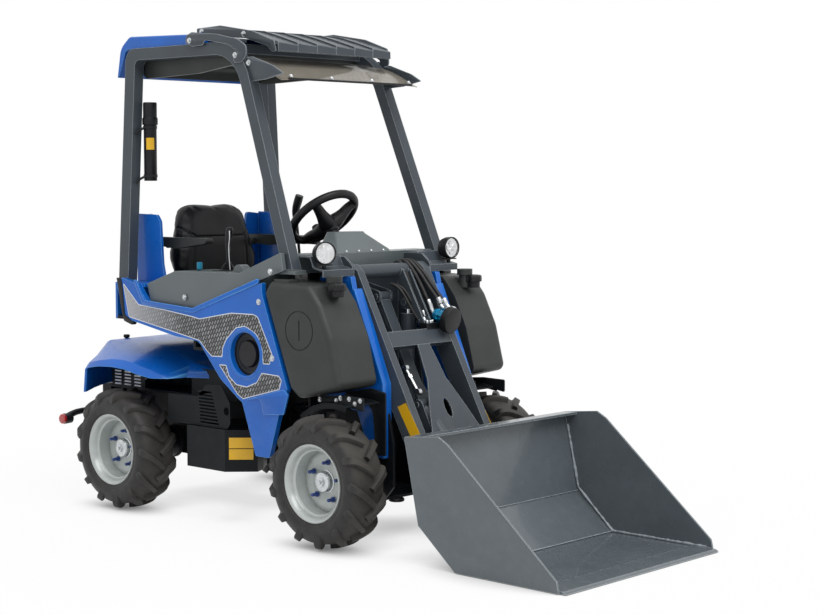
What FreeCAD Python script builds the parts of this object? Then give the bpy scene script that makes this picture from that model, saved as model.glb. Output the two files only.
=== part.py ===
"""Compact articulated wheel loader with a roll-over frame, a parallel-lift boom and a bucket.

Frame: +X forward, +Y left, +Z up, millimetres. The origin is on the ground, at the middle of the
overall length and width. The front frame carries the cab, the boom and the front wheels, and the
rear frame carries the engine, the hood and the rear wheels. They meet at the upright pivot pin.
"""
import FreeCAD, Part
import math
import os

from FreeCAD import Placement, Rotation, Vector

SIZES = {
    # Overall layout
    "wheel_base": 1377.0,
    "front_reach": 1280.0,
    "rear_reach": 423.0,
    "axle_height": 288.0,
    "track_half": 535.0,
    # Wheels
    "tyre_radius": 288.0,
    "tyre_width": 210.0,
    "bead_radius": 152.0,
    "rim_width": 186.0,
    "rim_flange_radius": 168.0,
    "rim_wall": 5.0,
    "lug_height": 24.0,
    "lug_width": 26.0,
    "lugs_per_side": 13.0,
    "wheel_bolts": 5.0,
    "bolt_circle_radius": 75.0,
    "disc_thickness": 8.0,
    "hub_radius": 62.0,
    "hub_cap_radius": 45.0,
    "hub_cap_height": 24.0,
    "wheel_motor_radius": 75.0,
    "wheel_motor_end": 470.0,
    "hub_gap": 0.4,
    "fit_gap": 0.3,
    # Front chassis and its neck
    "chassis_half_width": 262.0,
    "chassis_plate": 12.0,
    "chassis_back": 280.0,
    "chassis_top": 560.0,
    "chassis_floor": 175.0,
    "neck_half_width": 70.0,
    "lug_thickness": 25.0,
    "lug_low": 250.0,
    "lug_high": 480.0,
    "lug_radius": 60.0,
    "pivot_pin_radius": 20.0,
    "pin_play": 0.05,
    # Rear chassis
    "rear_half_width": 240.0,
    "rear_front_gap": 72.0,
    "rear_floor": 235.0,
    "rear_top": 560.0,
    "rear_length": 1002.0,
    "pivot_tube_radius": 46.0,
    # Boom and its linkage
    "boom_pivot_back": 165.0,
    "boom_pivot_height": 1163.0,
    "boom_foot_front": 345.0,
    "boom_foot_height": 220.0,
    "boom_outer_half": 235.0,
    "boom_arm_width": 40.0,
    "boom_tube_radius": 30.0,
    "boom_depth": 100.0,
    "boom_pin_radius": 18.0,
    "hose_radius": 7.0,
    "coupler_radius": 38.0,
    "coupler_plate_radius": 60.0,
    "foot_pin_radius": 15.0,
    "link_back": 19.0,
    "link_drop": 119.0,
    "link_thickness": 16.0,
    "link_half_width": 30.0,
    "link_flare": 150.0,
    "lift_lug_along": 150.0,
    "lift_lug_back": 30.0,
    "lift_base_back": 120.0,
    "lift_base_height": 400.0,
    "lift_side": 100.0,
    "tilt_side": -90.0,
    "tilt_base_back": 200.0,
    "tilt_base_rise": 370.0,
    "tilt_eye_ahead": 50.0,
    "tilt_eye_rise": 100.0,
    "lift_barrel_radius": 32.0,
    "lift_barrel_margin": 52.0,
    "lift_rod_radius": 16.0,
    "tilt_barrel_radius": 28.0,
    "tilt_barrel_margin": 83.0,
    "tilt_rod_radius": 14.0,
    "cylinder_eye_width": 36.0,
    "cylinder_eye_radius": 25.0,
    "cylinder_pin_radius": 12.0,
    "eye_wall": 12.0,
    "barrel_start": 22.0,
    "tilt_base_width": 58.0,
    "side_play": 0.3,
    "lug_plate": 8.0,
    "steer_base_ahead": 300.0,
    "steer_base_side": 80.0,
    "steer_eye_back": 100.0,
    "steer_eye_side": 140.0,
    "steer_height": 532.0,
    "steer_barrel_radius": 22.0,
    "steer_pin_radius": 9.0,
    "steer_barrel_margin": 129.5,
    "steer_rod_radius": 11.0,
    # Bucket
    "bucket_half_width": 533.0,
    "bucket_side_plate": 8.0,
    "bucket_sheet": 8.0,
    "bucket_clearance": 3.0,
    # Cab
    "cab_half_width": 555.0,
    "panel_thickness": 25.0,
    "intake_radius": 98.0,
    "bowl_depth": 8.0,
    "cab_floor_height": 792.0,
    "floor_plate": 14.0,
    "shelf_height": 905.0,
    "cab_rear": 1450.0,
    "dash_height": 1160.0,
    "dash_half_width": 438.0,
    "sill_height": 1080.0,
    "seat_half_width": 250.0,
    "seat_cushion_base": 1010.0,
    "seat_cushion_height": 100.0,
    "seat_top": 1455.0,
    # Roll-over frame and roof
    "frame_tube_width": 55.0,
    "frame_tube_depth": 70.0,
    "frame_top": 2192.0,
    "frame_lean": 3.0,
    "frame_half_width_top": 430.0,
    "post_foot_rise": 17.7,
    "post_slope": 0.384,
    "roof_rise": 58.0,
    "roof_half_width": 440.0,
    "roof_slats": 6.0,
    "guard_drop": 1.3,
    # Tower, tanks, lamps
    "tower_inner_half": 245.0,
    "tower_plate": 12.0,
    "fairing_inner_half": 262.3,
    "fairing_outer_half": 290.0,
    "tank_inner_half": 321.0,
    "tank_outer_half": 552.0,
    "tank_rounding": 30.0,
    "lamp_radius": 53.0,
    "tube_collar_radius": 31.0,
    "lamp_side": 407.0,
    "shoulder_rise": 17.0,
    "lamp_rise": 73.0,
    "steering_wheel_radius": 175.0,
    "steering_rim_radius": 15.0,
    "steering_wheel_tilt": 41.8,
}

doc = FreeCAD.newDocument("compact_wheel_loader")
sheet = doc.addObject("Spreadsheet::Sheet", "Sizes")
for row, (alias, value) in enumerate(SIZES.items(), start=1):
    sheet.set(f"A{row}", alias)
    sheet.set(f"B{row}", str(value))
    sheet.setAlias(f"B{row}", alias)
doc.recompute()


class Size:
    """The driving sizes, read back from the spreadsheet by name."""


for alias in SIZES:
    setattr(Size, alias, float(getattr(sheet, alias)))

FRONT_AXLE = (Size.rear_reach + Size.wheel_base - Size.front_reach) / 2
PIVOT = FRONT_AXLE - Size.wheel_base / 2
REAR_AXLE = FRONT_AXLE - Size.wheel_base


def turned(distance, degrees):
    """A plane vector of a length and a direction."""
    angle = math.radians(degrees)
    return Vector(distance * math.cos(angle), distance * math.sin(angle), 0)


PIVOT_TOP = Vector(-Size.boom_pivot_back, Size.boom_pivot_height, 0)
FOOT = Vector(Size.boom_foot_front, Size.boom_foot_height, 0)
BOOM_LENGTH = (FOOT - PIVOT_TOP).Length
BOOM_AXIS = (FOOT - PIVOT_TOP) * (1 / BOOM_LENGTH)
BOOM_FACE = Vector(-BOOM_AXIS.y, BOOM_AXIS.x, 0)
BOOM_ANGLE = math.degrees(math.atan2(BOOM_AXIS.y, BOOM_AXIS.x))
LINK_TOP = PIVOT_TOP - Vector(Size.link_back, Size.link_drop, 0)
LIFT_LUG = PIVOT_TOP + BOOM_AXIS * Size.lift_lug_along - BOOM_FACE * Size.lift_lug_back
LIFT_BASE = Vector(-Size.lift_base_back, Size.lift_base_height, 0)
STEER_BASE = Vector(PIVOT - FRONT_AXLE + Size.steer_base_ahead, Size.steer_base_side, 0)
STEER_EYE = Vector(PIVOT - FRONT_AXLE - Size.steer_eye_back, Size.steer_eye_side, 0)
TILT_BASE = FOOT + Vector(-Size.tilt_base_back, Size.tilt_base_rise, 0)
TILT_EYE = FOOT + Vector(Size.tilt_eye_ahead, Size.tilt_eye_rise, 0)
INTAKE = Vector(-495, 800, 0)


class Hole:
    """A round loop of an outline."""

    def __init__(self, u, v, radius):
        self.edges = [Part.Circle(Vector(u, v, 0), Vector(0, 0, 1), radius)]


class RegularLoop:
    """A loop with equal straight sides, such as a hexagon nut's."""

    def __init__(self, u, v, radius, sides):
        corners = [Vector(u, v, 0) + turned(radius, 360 / sides * number) for number in range(sides)]
        self.edges = [Part.LineSegment(corners[number - 1], corners[number]) for number in range(sides)]


class Outline:
    """A closed loop through corners (u, v) or (u, v, radius), with tangent arcs at the radii."""

    def __init__(self, *corners):
        self.edges = []
        ends = []
        for index, corner in enumerate(corners):
            here = Vector(corner[0], corner[1], 0)
            radius = corner[2] if len(corner) > 2 else 0
            if not radius:
                ends.append((here, here))
                continue
            before = Vector(*corners[index - 1][:2], 0) - here
            after = Vector(*corners[(index + 1) % len(corners)][:2], 0) - here
            before.normalize()
            after.normalize()
            half = before.getAngle(after) / 2
            start = here + before * (radius / math.tan(half))
            end = here + after * (radius / math.tan(half))
            inward = before + after
            inward.normalize()
            middle = here + inward * (radius / math.sin(half) - radius)
            self.edges.append(Part.Arc(start, middle, end))
            ends.append((start, end))
        for index, (start, end) in enumerate(ends):
            last = ends[index - 1][1]
            if (start - last).Length > 1e-6:
                self.edges.append(Part.LineSegment(last, start))


class Piece:
    """A sub-part of the loader: one PartDesign body, drawn in side, plan or front outlines.

    Side outlines are (x, z), plan outlines (x, y) and front outlines (y, z), all counted from
    the piece's own reference point. The outlines of one view may be turned about that point.
    """

    PLANES = {"side": "XZ_Plane", "plan": "XY_Plane", "front": "YZ_Plane"}

    def __init__(self, name, x=0.0, y=0.0, z=0.0, turn=0.0, turned_view="side"):
        self.name = name
        self.body = doc.addObject("PartDesign::Body", name)
        self.body.Label = name
        self.at = Vector(x, y, z)
        self.turn = {turned_view: turn}
        self.sketches = 0

    def sketch(self, view, level, loops, lean=0.0, back=0.0):
        """Draw loops on a plane of the body, at a level along the plane's normal.

        A leaned plane turns about its outline's first axis, then steps back along its own normal.
        """
        role = self.PLANES[view]
        plane = next(item for item in self.body.Origin.OriginFeatures if item.Role == role)
        self.sketches += 1
        drawn = self.body.newObject("Sketcher::SketchObject", f"{self.name}_sketch_{self.sketches}")
        drawn.AttachmentSupport = [(plane, "")]
        drawn.MapMode = "FlatFace"
        base = {
            "side": Vector(self.at.x, self.at.z, -self.at.y - level),
            "plan": Vector(self.at.x, self.at.y, self.at.z + level),
            "front": Vector(self.at.y, self.at.z, self.at.x + level),
        }[view]
        rotation = Rotation(Vector(0, 0, 1), self.turn.get(view, 0.0)) * Rotation(Vector(1, 0, 0), lean)
        drawn.AttachmentOffset = Placement(base, rotation) * Placement(Vector(0, 0, -back), Rotation())
        for loop in loops:
            for edge in loop.edges:
                drawn.addGeometry(edge, False)
        return drawn

    def add(self, view, low, high, *loops, lean=0.0):
        """Add a prism between two levels: y for a side outline, z for a plan, x for a front."""
        level = high if view == "side" else low
        back = 0.0
        if lean:
            level, back = (low + high) / 2, (high - low) / 2
        pad = self.body.newObject("PartDesign::Pad", f"{self.name}_pad_{self.sketches + 1}")
        pad.Profile = self.sketch(view, level, loops, lean, back)
        pad.Length = high - low
        return pad

    def cut(self, view, low, high, *loops, lean=0.0):
        """Cut a prism between two levels."""
        level = high if view == "side" else low
        pocket = self.body.newObject("PartDesign::Pocket", f"{self.name}_cut_{self.sketches + 1}")
        pocket.Profile = self.sketch(view, level, loops, lean)
        pocket.Length = high - low
        pocket.Reversed = True
        return pocket

    def revolve(self, view, level, *loops):
        """Add a solid of revolution about the outline's own first axis."""
        turned_solid = self.body.newObject(
            "PartDesign::Revolution", f"{self.name}_turned_{self.sketches + 1}")
        profile = self.sketch(view, level, loops)
        turned_solid.Profile = profile
        turned_solid.ReferenceAxis = (profile, ["H_Axis"])
        turned_solid.Angle = 360
        return turned_solid

    def round_edges(self, radius, chosen):
        """Round the edges whose corner points all pass a test."""
        doc.recompute()
        base = self.body.Tip
        names = [f"Edge{number}" for number, edge in enumerate(base.Shape.Edges, start=1)
                 if all(chosen(vertex.Point) for vertex in edge.Vertexes)]
        fillet = self.body.newObject("PartDesign::Fillet", f"{self.name}_round_{len(self.body.Group)}")
        fillet.Base = (base, names)
        fillet.Radius = radius
        return fillet

    def around(self, features, count):
        """Repeat features around the axis that runs across the machine through the reference point."""
        centre = self.sketch("side", 0, [])
        pattern = self.body.newObject("PartDesign::PolarPattern", f"{self.name}_around_{self.sketches}")
        pattern.Originals = features
        pattern.Axis = (centre, ["N_Axis"])
        pattern.Angle = 360
        pattern.Occurrences = count
        self.body.Tip = pattern
        return pattern

    def trim(self, view, level, *loops):
        """Cut away a ring turned about the outline's own first axis."""
        groove = self.body.newObject("PartDesign::Groove", f"{self.name}_trim_{self.sketches + 1}")
        profile = self.sketch(view, level, loops)
        groove.Profile = profile
        groove.ReferenceAxis = (profile, ["H_Axis"])
        groove.Angle = 360
        return groove

    def sweep(self, level, start_x, radius, *edges):
        """Add a round hose that starts straight up from the reference height and follows edges."""
        pipe = self.body.newObject("PartDesign::AdditivePipe", f"{self.name}_hose_{self.sketches + 1}")
        pipe.Profile = self.sketch("plan", 0, [Hole(start_x, level, radius)])
        route = Outline()
        route.edges = list(edges)
        pipe.Spine = (self.sketch("side", level, [route]), [])
        return pipe

    def loft(self, view, low, low_loops, high, high_loops):
        """Add a solid that runs straight from one outline to another."""
        solid = self.body.newObject("PartDesign::AdditiveLoft", f"{self.name}_loft_{self.sketches + 1}")
        solid.Profile = self.sketch(view, low, low_loops)
        solid.Sections = [self.sketch(view, high, high_loops)]
        solid.Ruled = True
        return solid


def both_sides(inner, outer):
    """The low and high levels of a band on the right side and of its mirror on the left."""
    return ((-outer, -inner), (inner, outer))


# ---------------------------------------------------------------- wheels and axles

def build_wheel(name, axle_x, side):
    """A tyre and its rim, on one side of an axle."""
    half = Size.tyre_width / 2
    bead = Size.rim_width / 2 - Size.rim_wall - Size.fit_gap
    tread = Size.tyre_radius
    body = tread - Size.lug_height
    tyre = Piece(f"tyre_{name}", axle_x, side * Size.track_half, Size.axle_height)
    tyre.revolve("front", 0, Outline(
        (-bead, Size.bead_radius), (bead, Size.bead_radius), (bead, Size.rim_flange_radius + 3),
        (half - 7, 192), (half - 3, 206), (half - 4, 226), (half - 16, body - 8), (half * 0.5, body),
        (-half * 0.5, body), (16 - half, body - 8), (4 - half, 226), (3 - half, 206), (7 - half, 192),
        (-bead, Size.rim_flange_radius + 3)))
    wide, step = Size.lug_width / 2, math.pi * tread / Size.lugs_per_side
    lugs = []
    for hand, shift in ((1, 0.0), (-1, step)):
        edge = hand * (half + 2)
        start = shift - step / 2
        lugs.append(tyre.add("plan", body - 46, tread + 6, Outline(
            (start - wide * 0.8, hand * -6), (start + wide * 0.8, hand * -6),
            (start + step * 0.42 + wide, hand * half * 0.5), (start + step * 0.55 + wide, edge),
            (start + step * 0.55 - wide, edge), (start + step * 0.42 - wide, hand * half * 0.5))))
    tyre.around(lugs, int(Size.lugs_per_side))
    tyre.trim("front", 0, Outline(
        (-half - 20, tread - 75), (0.5 - half, tread - 75), (8 - half, tread - 14), (26 - half, tread),
        (half - 26, tread), (half - 8, tread - 14), (half - 0.5, tread - 75), (half + 20, tread - 75),
        (half + 20, tread + 60), (-half - 20, tread + 60)))
    rim = Piece(f"rim_{name}", axle_x, side * Size.track_half, Size.axle_height)
    edge = Size.rim_width / 2
    seat = Size.bead_radius - Size.fit_gap
    inner = seat - Size.rim_wall
    wall, well = Size.rim_wall, 14
    flange = Size.rim_flange_radius
    rim.revolve("front", 0, Outline(
        (-edge, flange), (-edge, inner), (-edge + 42, inner), (-edge + 58, inner - well),
        (edge - 58, inner - well), (edge - 42, inner), (edge, inner), (edge, flange),
        (edge - wall, flange), (edge - wall, seat), (edge - 38, seat), (edge - 54, seat - well),
        (-edge + 54, seat - well), (-edge + 38, seat), (-edge + wall, seat), (-edge + wall, flange)))
    disc = Size.disc_thickness / 2
    hub_end = Size.track_half - Size.wheel_motor_end - Size.hub_gap
    cap_end = disc + Size.hub_cap_height
    rim.revolve("front", 0, Outline(
        (-side * hub_end, 0), (-side * hub_end, Size.hub_radius), (-side * disc, Size.hub_radius),
        (-side * disc, inner - well + 1), (side * disc, inner - well + 1), (side * disc, 106),
        (side * (disc + 10), 98), (side * (disc + 10), Size.hub_cap_radius + 4),
        (side * (disc + 18), Size.hub_cap_radius), (side * (cap_end + 8), Size.hub_cap_radius - 6),
        (side * (cap_end + 8), 0)))
    outside = sorted((side * disc, side * (disc + 36)))
    rim.at = Vector(axle_x, side * Size.track_half, Size.axle_height)
    rim.around([rim.add("side", *outside, RegularLoop(0, Size.bolt_circle_radius, 11, 6))],
               int(Size.wheel_bolts))


def build_axle(name, axle_x, frame_half):
    """The two wheel motors bolted to the sides of a frame."""
    axle = Piece(name, axle_x, 0, Size.axle_height)
    for low, high in both_sides(frame_half, Size.wheel_motor_end):
        axle.add("side", low, high, Hole(0, 0, Size.wheel_motor_radius))
    for low, high in both_sides(frame_half, frame_half + 14):
        axle.add("side", low, high, Hole(0, 0, Size.wheel_motor_radius + 4))


# ---------------------------------------------------------------- front frame

def build_front_chassis():
    """The channel that carries the boom tower, with the neck and fork of the pivot."""
    chassis = Piece("front_chassis", FRONT_AXLE)
    half = Size.chassis_half_width
    inner = half - Size.chassis_plate
    back = -Size.chassis_back
    floor = Size.chassis_floor
    for low, high in both_sides(inner, half):
        chassis.add("side", low, high, Outline(
            (back, floor + 25), (back, Size.chassis_top), (100, Size.chassis_top),
            (130, 430), (130, 240), (70, floor), (back + 50, floor)))
    chassis.add("plan", floor, floor + Size.chassis_plate, Outline(
        (back + 50, -half), (70, -half), (70, half), (back + 50, half)))
    chassis.add("front", back, back + Size.chassis_plate, Outline(
        (-half, floor + 25), (half, floor + 25), (half, Size.chassis_top), (-half, Size.chassis_top)))
    chassis.add("side", -half, half, Outline(
        (back, floor + 25), (back + 50, floor), (back + 62, floor + 12), (back + 12, floor + 37)))
    reach = PIVOT - FRONT_AXLE
    for low in (Size.lug_low, Size.lug_high):
        chassis.add("plan", low, low + Size.lug_thickness, Outline(
            (back, -130), (back, 130), (reach + 50, Size.lug_radius, 40),
            (reach - Size.lug_radius, Size.lug_radius, Size.lug_radius - 1),
            (reach - Size.lug_radius, -Size.lug_radius, Size.lug_radius - 1),
            (reach + 50, -Size.lug_radius, 40)))
    web_low = Size.lug_low + Size.lug_thickness
    for low, high in both_sides(Size.neck_half_width - Size.chassis_plate, Size.neck_half_width):
        chassis.add("side", low, high, Outline(
            (back, web_low), (back, Size.lug_high), (reach + 90, Size.lug_high), (reach + 90, web_low)))
    chassis.add("plan", Size.lug_low - 10, Size.lug_high + Size.lug_thickness + 10,
                Hole(reach, 0, Size.pivot_pin_radius))
    for pin_side, x, z, foot in ((Size.lift_side, -Size.lift_base_back, Size.lift_base_height, floor + 12),):
        reach_in = Size.cylinder_eye_width / 2 + 1
        for low, high in ((pin_side - reach_in - 8, pin_side - reach_in),
                          (pin_side + reach_in, pin_side + reach_in + 8)):
            chassis.add("side", low, high, Outline(
                (x - 70, foot), (x - 28, z + 28, 26), (x + 28, z + 28, 26), (x + 70, foot)))
        chassis.add("side", pin_side - reach_in - 12, pin_side + reach_in + 12,
                    Hole(x, z, Size.cylinder_pin_radius))
    steer_x = reach + Size.steer_base_ahead
    near = Size.cylinder_eye_width / 2 + 1
    for low, high in ((Size.steer_height - near - 8, Size.steer_height - near),
                      (Size.steer_height + near, Size.steer_height + near + 8)):
        chassis.add("plan", low, high, Outline(
            (back, Size.steer_base_side - 60), (back, Size.steer_base_side + 60),
            (steer_x - 24, Size.steer_base_side + 24, 22), (steer_x - 24, Size.steer_base_side - 24, 22)))
    chassis.add("plan", Size.steer_height - near - 8, Size.steer_height + near + 8,
                Hole(steer_x, Size.steer_base_side, 9))


def build_boom_tower():
    """The plates that hold the boom's pivot shaft, with their back wall and shoulders."""
    tower = Piece("boom_tower", FRONT_AXLE)
    inner = Size.tower_inner_half
    outer = inner + Size.tower_plate
    pivot = (-Size.boom_pivot_back, Size.boom_pivot_height)
    top, low_z = Size.boom_pivot_height, Size.chassis_top
    shoulder = top + Size.shoulder_rise
    dash = Size.dash_height - Size.fit_gap
    for low, high in both_sides(inner, outer):
        tower.add("side", low, high, Outline(
            (-330, low_z), (-330, dash), (-282.7, dash), (-282.7, top + 69), (-170, top + 69, 20),
            (-118, top + 27, 20), (-122, top - 43, 30), (-205, top - 263), (-150, low_z)))
    tower.add("front", -330, -318, Outline(
        (-inner, low_z), (inner, low_z), (inner, dash - 10), (-inner, dash - 10)))
    tower.add("side", -outer, outer, Hole(*pivot, Size.boom_pin_radius))
    for low, high in both_sides(outer - 6, 438):
        tower.add("side", low, high, Outline(
            (-282.7, shoulder + 58), (-200, shoulder + 58), (-178, shoulder + 12), (-118, shoulder),
            (-118, shoulder - 30), (-124, shoulder - 30), (-124, shoulder - 6), (-182, shoulder + 6),
            (-203, shoulder + 52), (-282.7, shoulder + 52)))
    x, z = pivot[0] - Size.link_back, pivot[1] - Size.link_drop
    near = Size.link_half_width + 2
    for low, high in both_sides(near, near + 10):
        tower.add("side", low, high, Outline(
            (-319, z - 60), (-319, z + 60), (x + 24, z + 24, 22), (x + 24, z - 24, 22)))
    tower.add("side", -near - 14, near + 14, Hole(x, z, Size.cylinder_pin_radius))


def build_mast_fairings():
    """The pressed covers outside the tower, one each side."""
    fairings = Piece("mast_fairings", FRONT_AXLE)
    top = Size.boom_pivot_height + Size.shoulder_rise - 32
    for low, high in both_sides(Size.fairing_inner_half, Size.fairing_outer_half):
        fairings.add("side", low, high, Outline(
            (-300, 600), (-300, top - 30, 30), (-280, top, 20), (-99, top, 8), (-85, 1090, 150),
            (-12, 919, 300), (88, 686, 40), (90, 369), (20, 369), (-60, 560)))


def build_cab_floor():
    """The footwell floor, the seat riser and the shelf over the hood, as one folded plate."""
    floor = Piece("cab_floor", FRONT_AXLE)
    half = Size.cab_half_width - Size.panel_thickness
    low, plate, shelf = Size.cab_floor_height, Size.floor_plate, Size.shelf_height
    floor.add("side", -half, half, Outline(
        (-330.3, low), (-330.3, low + plate), (-862, low + plate), (-862, shelf + plate),
        (-1436, shelf + plate), (-1436, shelf), (-862 - plate, shelf), (-862 - plate, low)))
    dash = Size.dash_height
    floor.add("side", -315, 315, Outline(
        (-330.3, Size.chassis_top), (-330.3, dash), (-344, dash), (-344, Size.chassis_top)))
    notch = Size.intake_radius + 19
    for side_low, side_high in both_sides(half - Size.bowl_depth - Size.fit_gap, half + 1):
        floor.cut("plan", low - 1, low + plate + 1, Outline(
            (INTAKE.x - notch, side_low), (INTAKE.x - notch, side_high),
            (INTAKE.x + notch, side_high), (INTAKE.x + notch, side_low)))


def build_cab_panel(name, side):
    """A side skirt of the cab, with the round air intake and the tapered leg."""
    panel = Piece(name, FRONT_AXLE)
    outer = Size.cab_half_width
    inner = outer - Size.panel_thickness
    hand = 0 if side < 0 else 1
    intake = Size.intake_radius
    sill = Size.sill_height
    panel.add("side", *both_sides(inner, outer)[hand], Outline(
        (-1412, 1080, 6), (-1365, 1105, 10), (-1252, 1079, 20), (-1165, 980, 30), (-880, 965, 40),
        (-385, 1120), (-385, 1075, 30), (-225, 663, 12), (-257, 616, 30), (-342, 352, 10),
        (-430, 352, 10), (-517, 584, 20), (-541, 596, 30), (-664, 678, 60), (-811, 838, 60),
        (-977, 850, 100), (-1346, 913, 20)), Hole(INTAKE.x, INTAKE.y, intake))
    deck = both_sides(400, inner)[hand]
    panel.add("side", *deck, Outline(
        (-Size.cab_rear + 14, sill - 16), (-Size.cab_rear + 14, sill), (-1230, sill), (-1230, sill - 16)))
    panel.at = Vector(FRONT_AXLE + INTAKE.x, 0, INTAKE.y)
    panel.revolve("front", 0, Outline(
        (side * (inner + 2), intake - 1), (side * (outer + 2), intake - 1), (side * (outer + 5), intake + 4),
        (side * (outer + 5), intake + 11), (side * (outer + 1), intake + 17),
        (side * (inner + 2), intake + 17)))


def build_air_intakes():
    """The bowls and drums behind the round openings of the side panels."""
    bowls = Piece("air_intakes", FRONT_AXLE + INTAKE.x, 0, INTAKE.y)
    inner = Size.cab_half_width - Size.panel_thickness
    rim = Size.intake_radius
    for side in (-1, 1):
        bowls.revolve("front", 0, Outline(
            (side * (inner - Size.bowl_depth), 0), (side * (inner - Size.bowl_depth), rim + 16),
            (side * (inner - Size.fit_gap), rim + 16), (side * (inner - Size.fit_gap), rim - 12),
            (side * (inner - 4), rim - 20), (side * (inner - 4), 62), (side * (inner + 12), 56),
            (side * (inner + 12), 0)))


def build_consoles():
    """The consoles beside the seat."""
    consoles = Piece("consoles", FRONT_AXLE)
    inner = Size.cab_half_width - Size.panel_thickness
    for low, high in both_sides(300, inner):
        consoles.add("side", low, high, Outline(
            (-1208, 1082), (-1004, 1149, 20), (-560, 1155), (-440, 1155), (-440, 1080),
            (-885, 945), (-1170, 960)))
    for low, high in both_sides(inner - 20, inner):
        consoles.add("side", low, high, Outline(
            (-560, 1155), (-288, 1255, 6), (-273, 1176, 6), (-335, 1158), (-560, 1086)))


def build_rear_shroud():
    """The rear wall of the cab with a cover at each corner."""
    shroud = Piece("rear_shroud", FRONT_AXLE)
    half = Size.cab_half_width - Size.panel_thickness
    back = -Size.cab_rear
    sill = Size.sill_height
    shroud.add("front", back, back + 14, Outline(
        (-half, 905), (half, 905), (half, sill), (395, sill), (395, 1395, 20), (300, 1405, 20),
        (270, 1100, 20), (-270, 1100, 20), (-300, 1405, 20), (-395, 1395, 20), (-395, sill), (-half, sill)))
    for low, high in both_sides(381, 395):
        shroud.add("side", low, high, Outline(
            (back + 14, sill), (-1240, sill), (-1262, 1170, 40), (-1275, 1370, 20), (-1300, 1402, 20),
            (back + 14, 1405)))


def build_seat():
    """The seat box with its cushion, backrest and armrests."""
    half = Size.seat_half_width
    base = Piece("seat_base", FRONT_AXLE)
    shelf_top = Size.shelf_height + Size.floor_plate
    seat = Size.seat_cushion_base
    base.add("side", 20 - half, half - 20, Outline(
        (-1395, shelf_top), (-1395, seat), (-900, seat), (-880, shelf_top)))
    cushion = Piece("seat_cushion", FRONT_AXLE)
    top = seat + Size.seat_cushion_height
    cushion.add("side", -half, half, Outline(
        (-1299, seat + Size.fit_gap), (-1290, top, 30), (-890, top + 15, 45),
        (-860, seat + Size.fit_gap, 28)))
    cushion.round_edges(22, lambda point: abs(abs(point.y) - half) < 0.01 and point.z > seat + 30)
    back = Piece("seat_back", FRONT_AXLE)
    head = Size.seat_top
    back.add("front", -1430, -1285, Outline(
        (-half + 15, seat + Size.fit_gap, 20), (half - 15, seat + Size.fit_gap, 20),
        (half + 10, seat + 190, 150),
        (half - 55, head, 90), (55 - half, head, 90), (-half - 10, seat + 190, 150)))
    back.cut("side", -half - 20, half + 20, Outline(
        (-1284, seat - 10), (-1303, seat - 10), (-1296, seat + 130, 60), (-1318, seat + 300, 200),
        (-1356, head + 5), (-1284, head + 5)))
    back.cut("side", -half - 20, half + 20, Outline(
        (-1431, seat - 10), (-1385, seat - 10), (-1400, seat + 200, 200), (-1418, head + 5),
        (-1431, head + 5)))
    arms = Piece("armrests", FRONT_AXLE)
    for low, high in both_sides(half + 28, half + 74):
        arms.add("side", low, high, Outline(
            (-1400, 1252, 15), (-1400, 1292, 14), (-1020, 1292, 12), (-1030, 1268, 10), (-1250, 1238, 100)))
    for low, high in both_sides(half + 1.1, half + 30):
        arms.add("side", low, high, Hole(-1362, 1255, 18))


def post_front(z):
    """How far back the front posts' front edge is at a height."""
    return -242 - Size.post_slope * (z - 1177)


def build_roll_over_frame():
    """Two bent side frames that lean inward, joined by cross tubes."""
    frame = Piece("roll_over_frame", FRONT_AXLE, 0, 0)
    half = Size.frame_tube_width / 2
    top, depth = Size.frame_top, Size.frame_tube_depth
    rail = 56
    lean_angle = math.radians(Size.frame_lean)

    def foot(z):
        return (z + Size.fit_gap + half * math.sin(lean_angle)) / math.cos(lean_angle)

    rear_foot, front_foot = foot(Size.sill_height), foot(Size.dash_height + Size.post_foot_rise)
    ring = Outline(
        (-1452, rear_foot), (-1452, top, 60), (post_front(top), top, 250),
        (post_front(front_foot), front_foot),
        (post_front(front_foot) - 62, front_foot), (post_front(top - rail) - 62, top - rail, 200),
        (-1452 + depth, top - rail, 30), (-1452 + depth, rear_foot))
    for side in (-1, 1):
        level = side * (Size.frame_half_width_top + math.tan(lean_angle) * (top - 162))
        frame.add("side", level - half, level + half, ring, lean=side * Size.frame_lean)
    y = Size.frame_half_width_top - 20
    for x, low, high in ((-1440, top - 50, top - 6), (post_front(top) - 128, top - 50, top - 8)):
        frame.add("front", x, x + 44, Outline((-y, low), (y, low), (y, high), (-y, high)))


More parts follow.
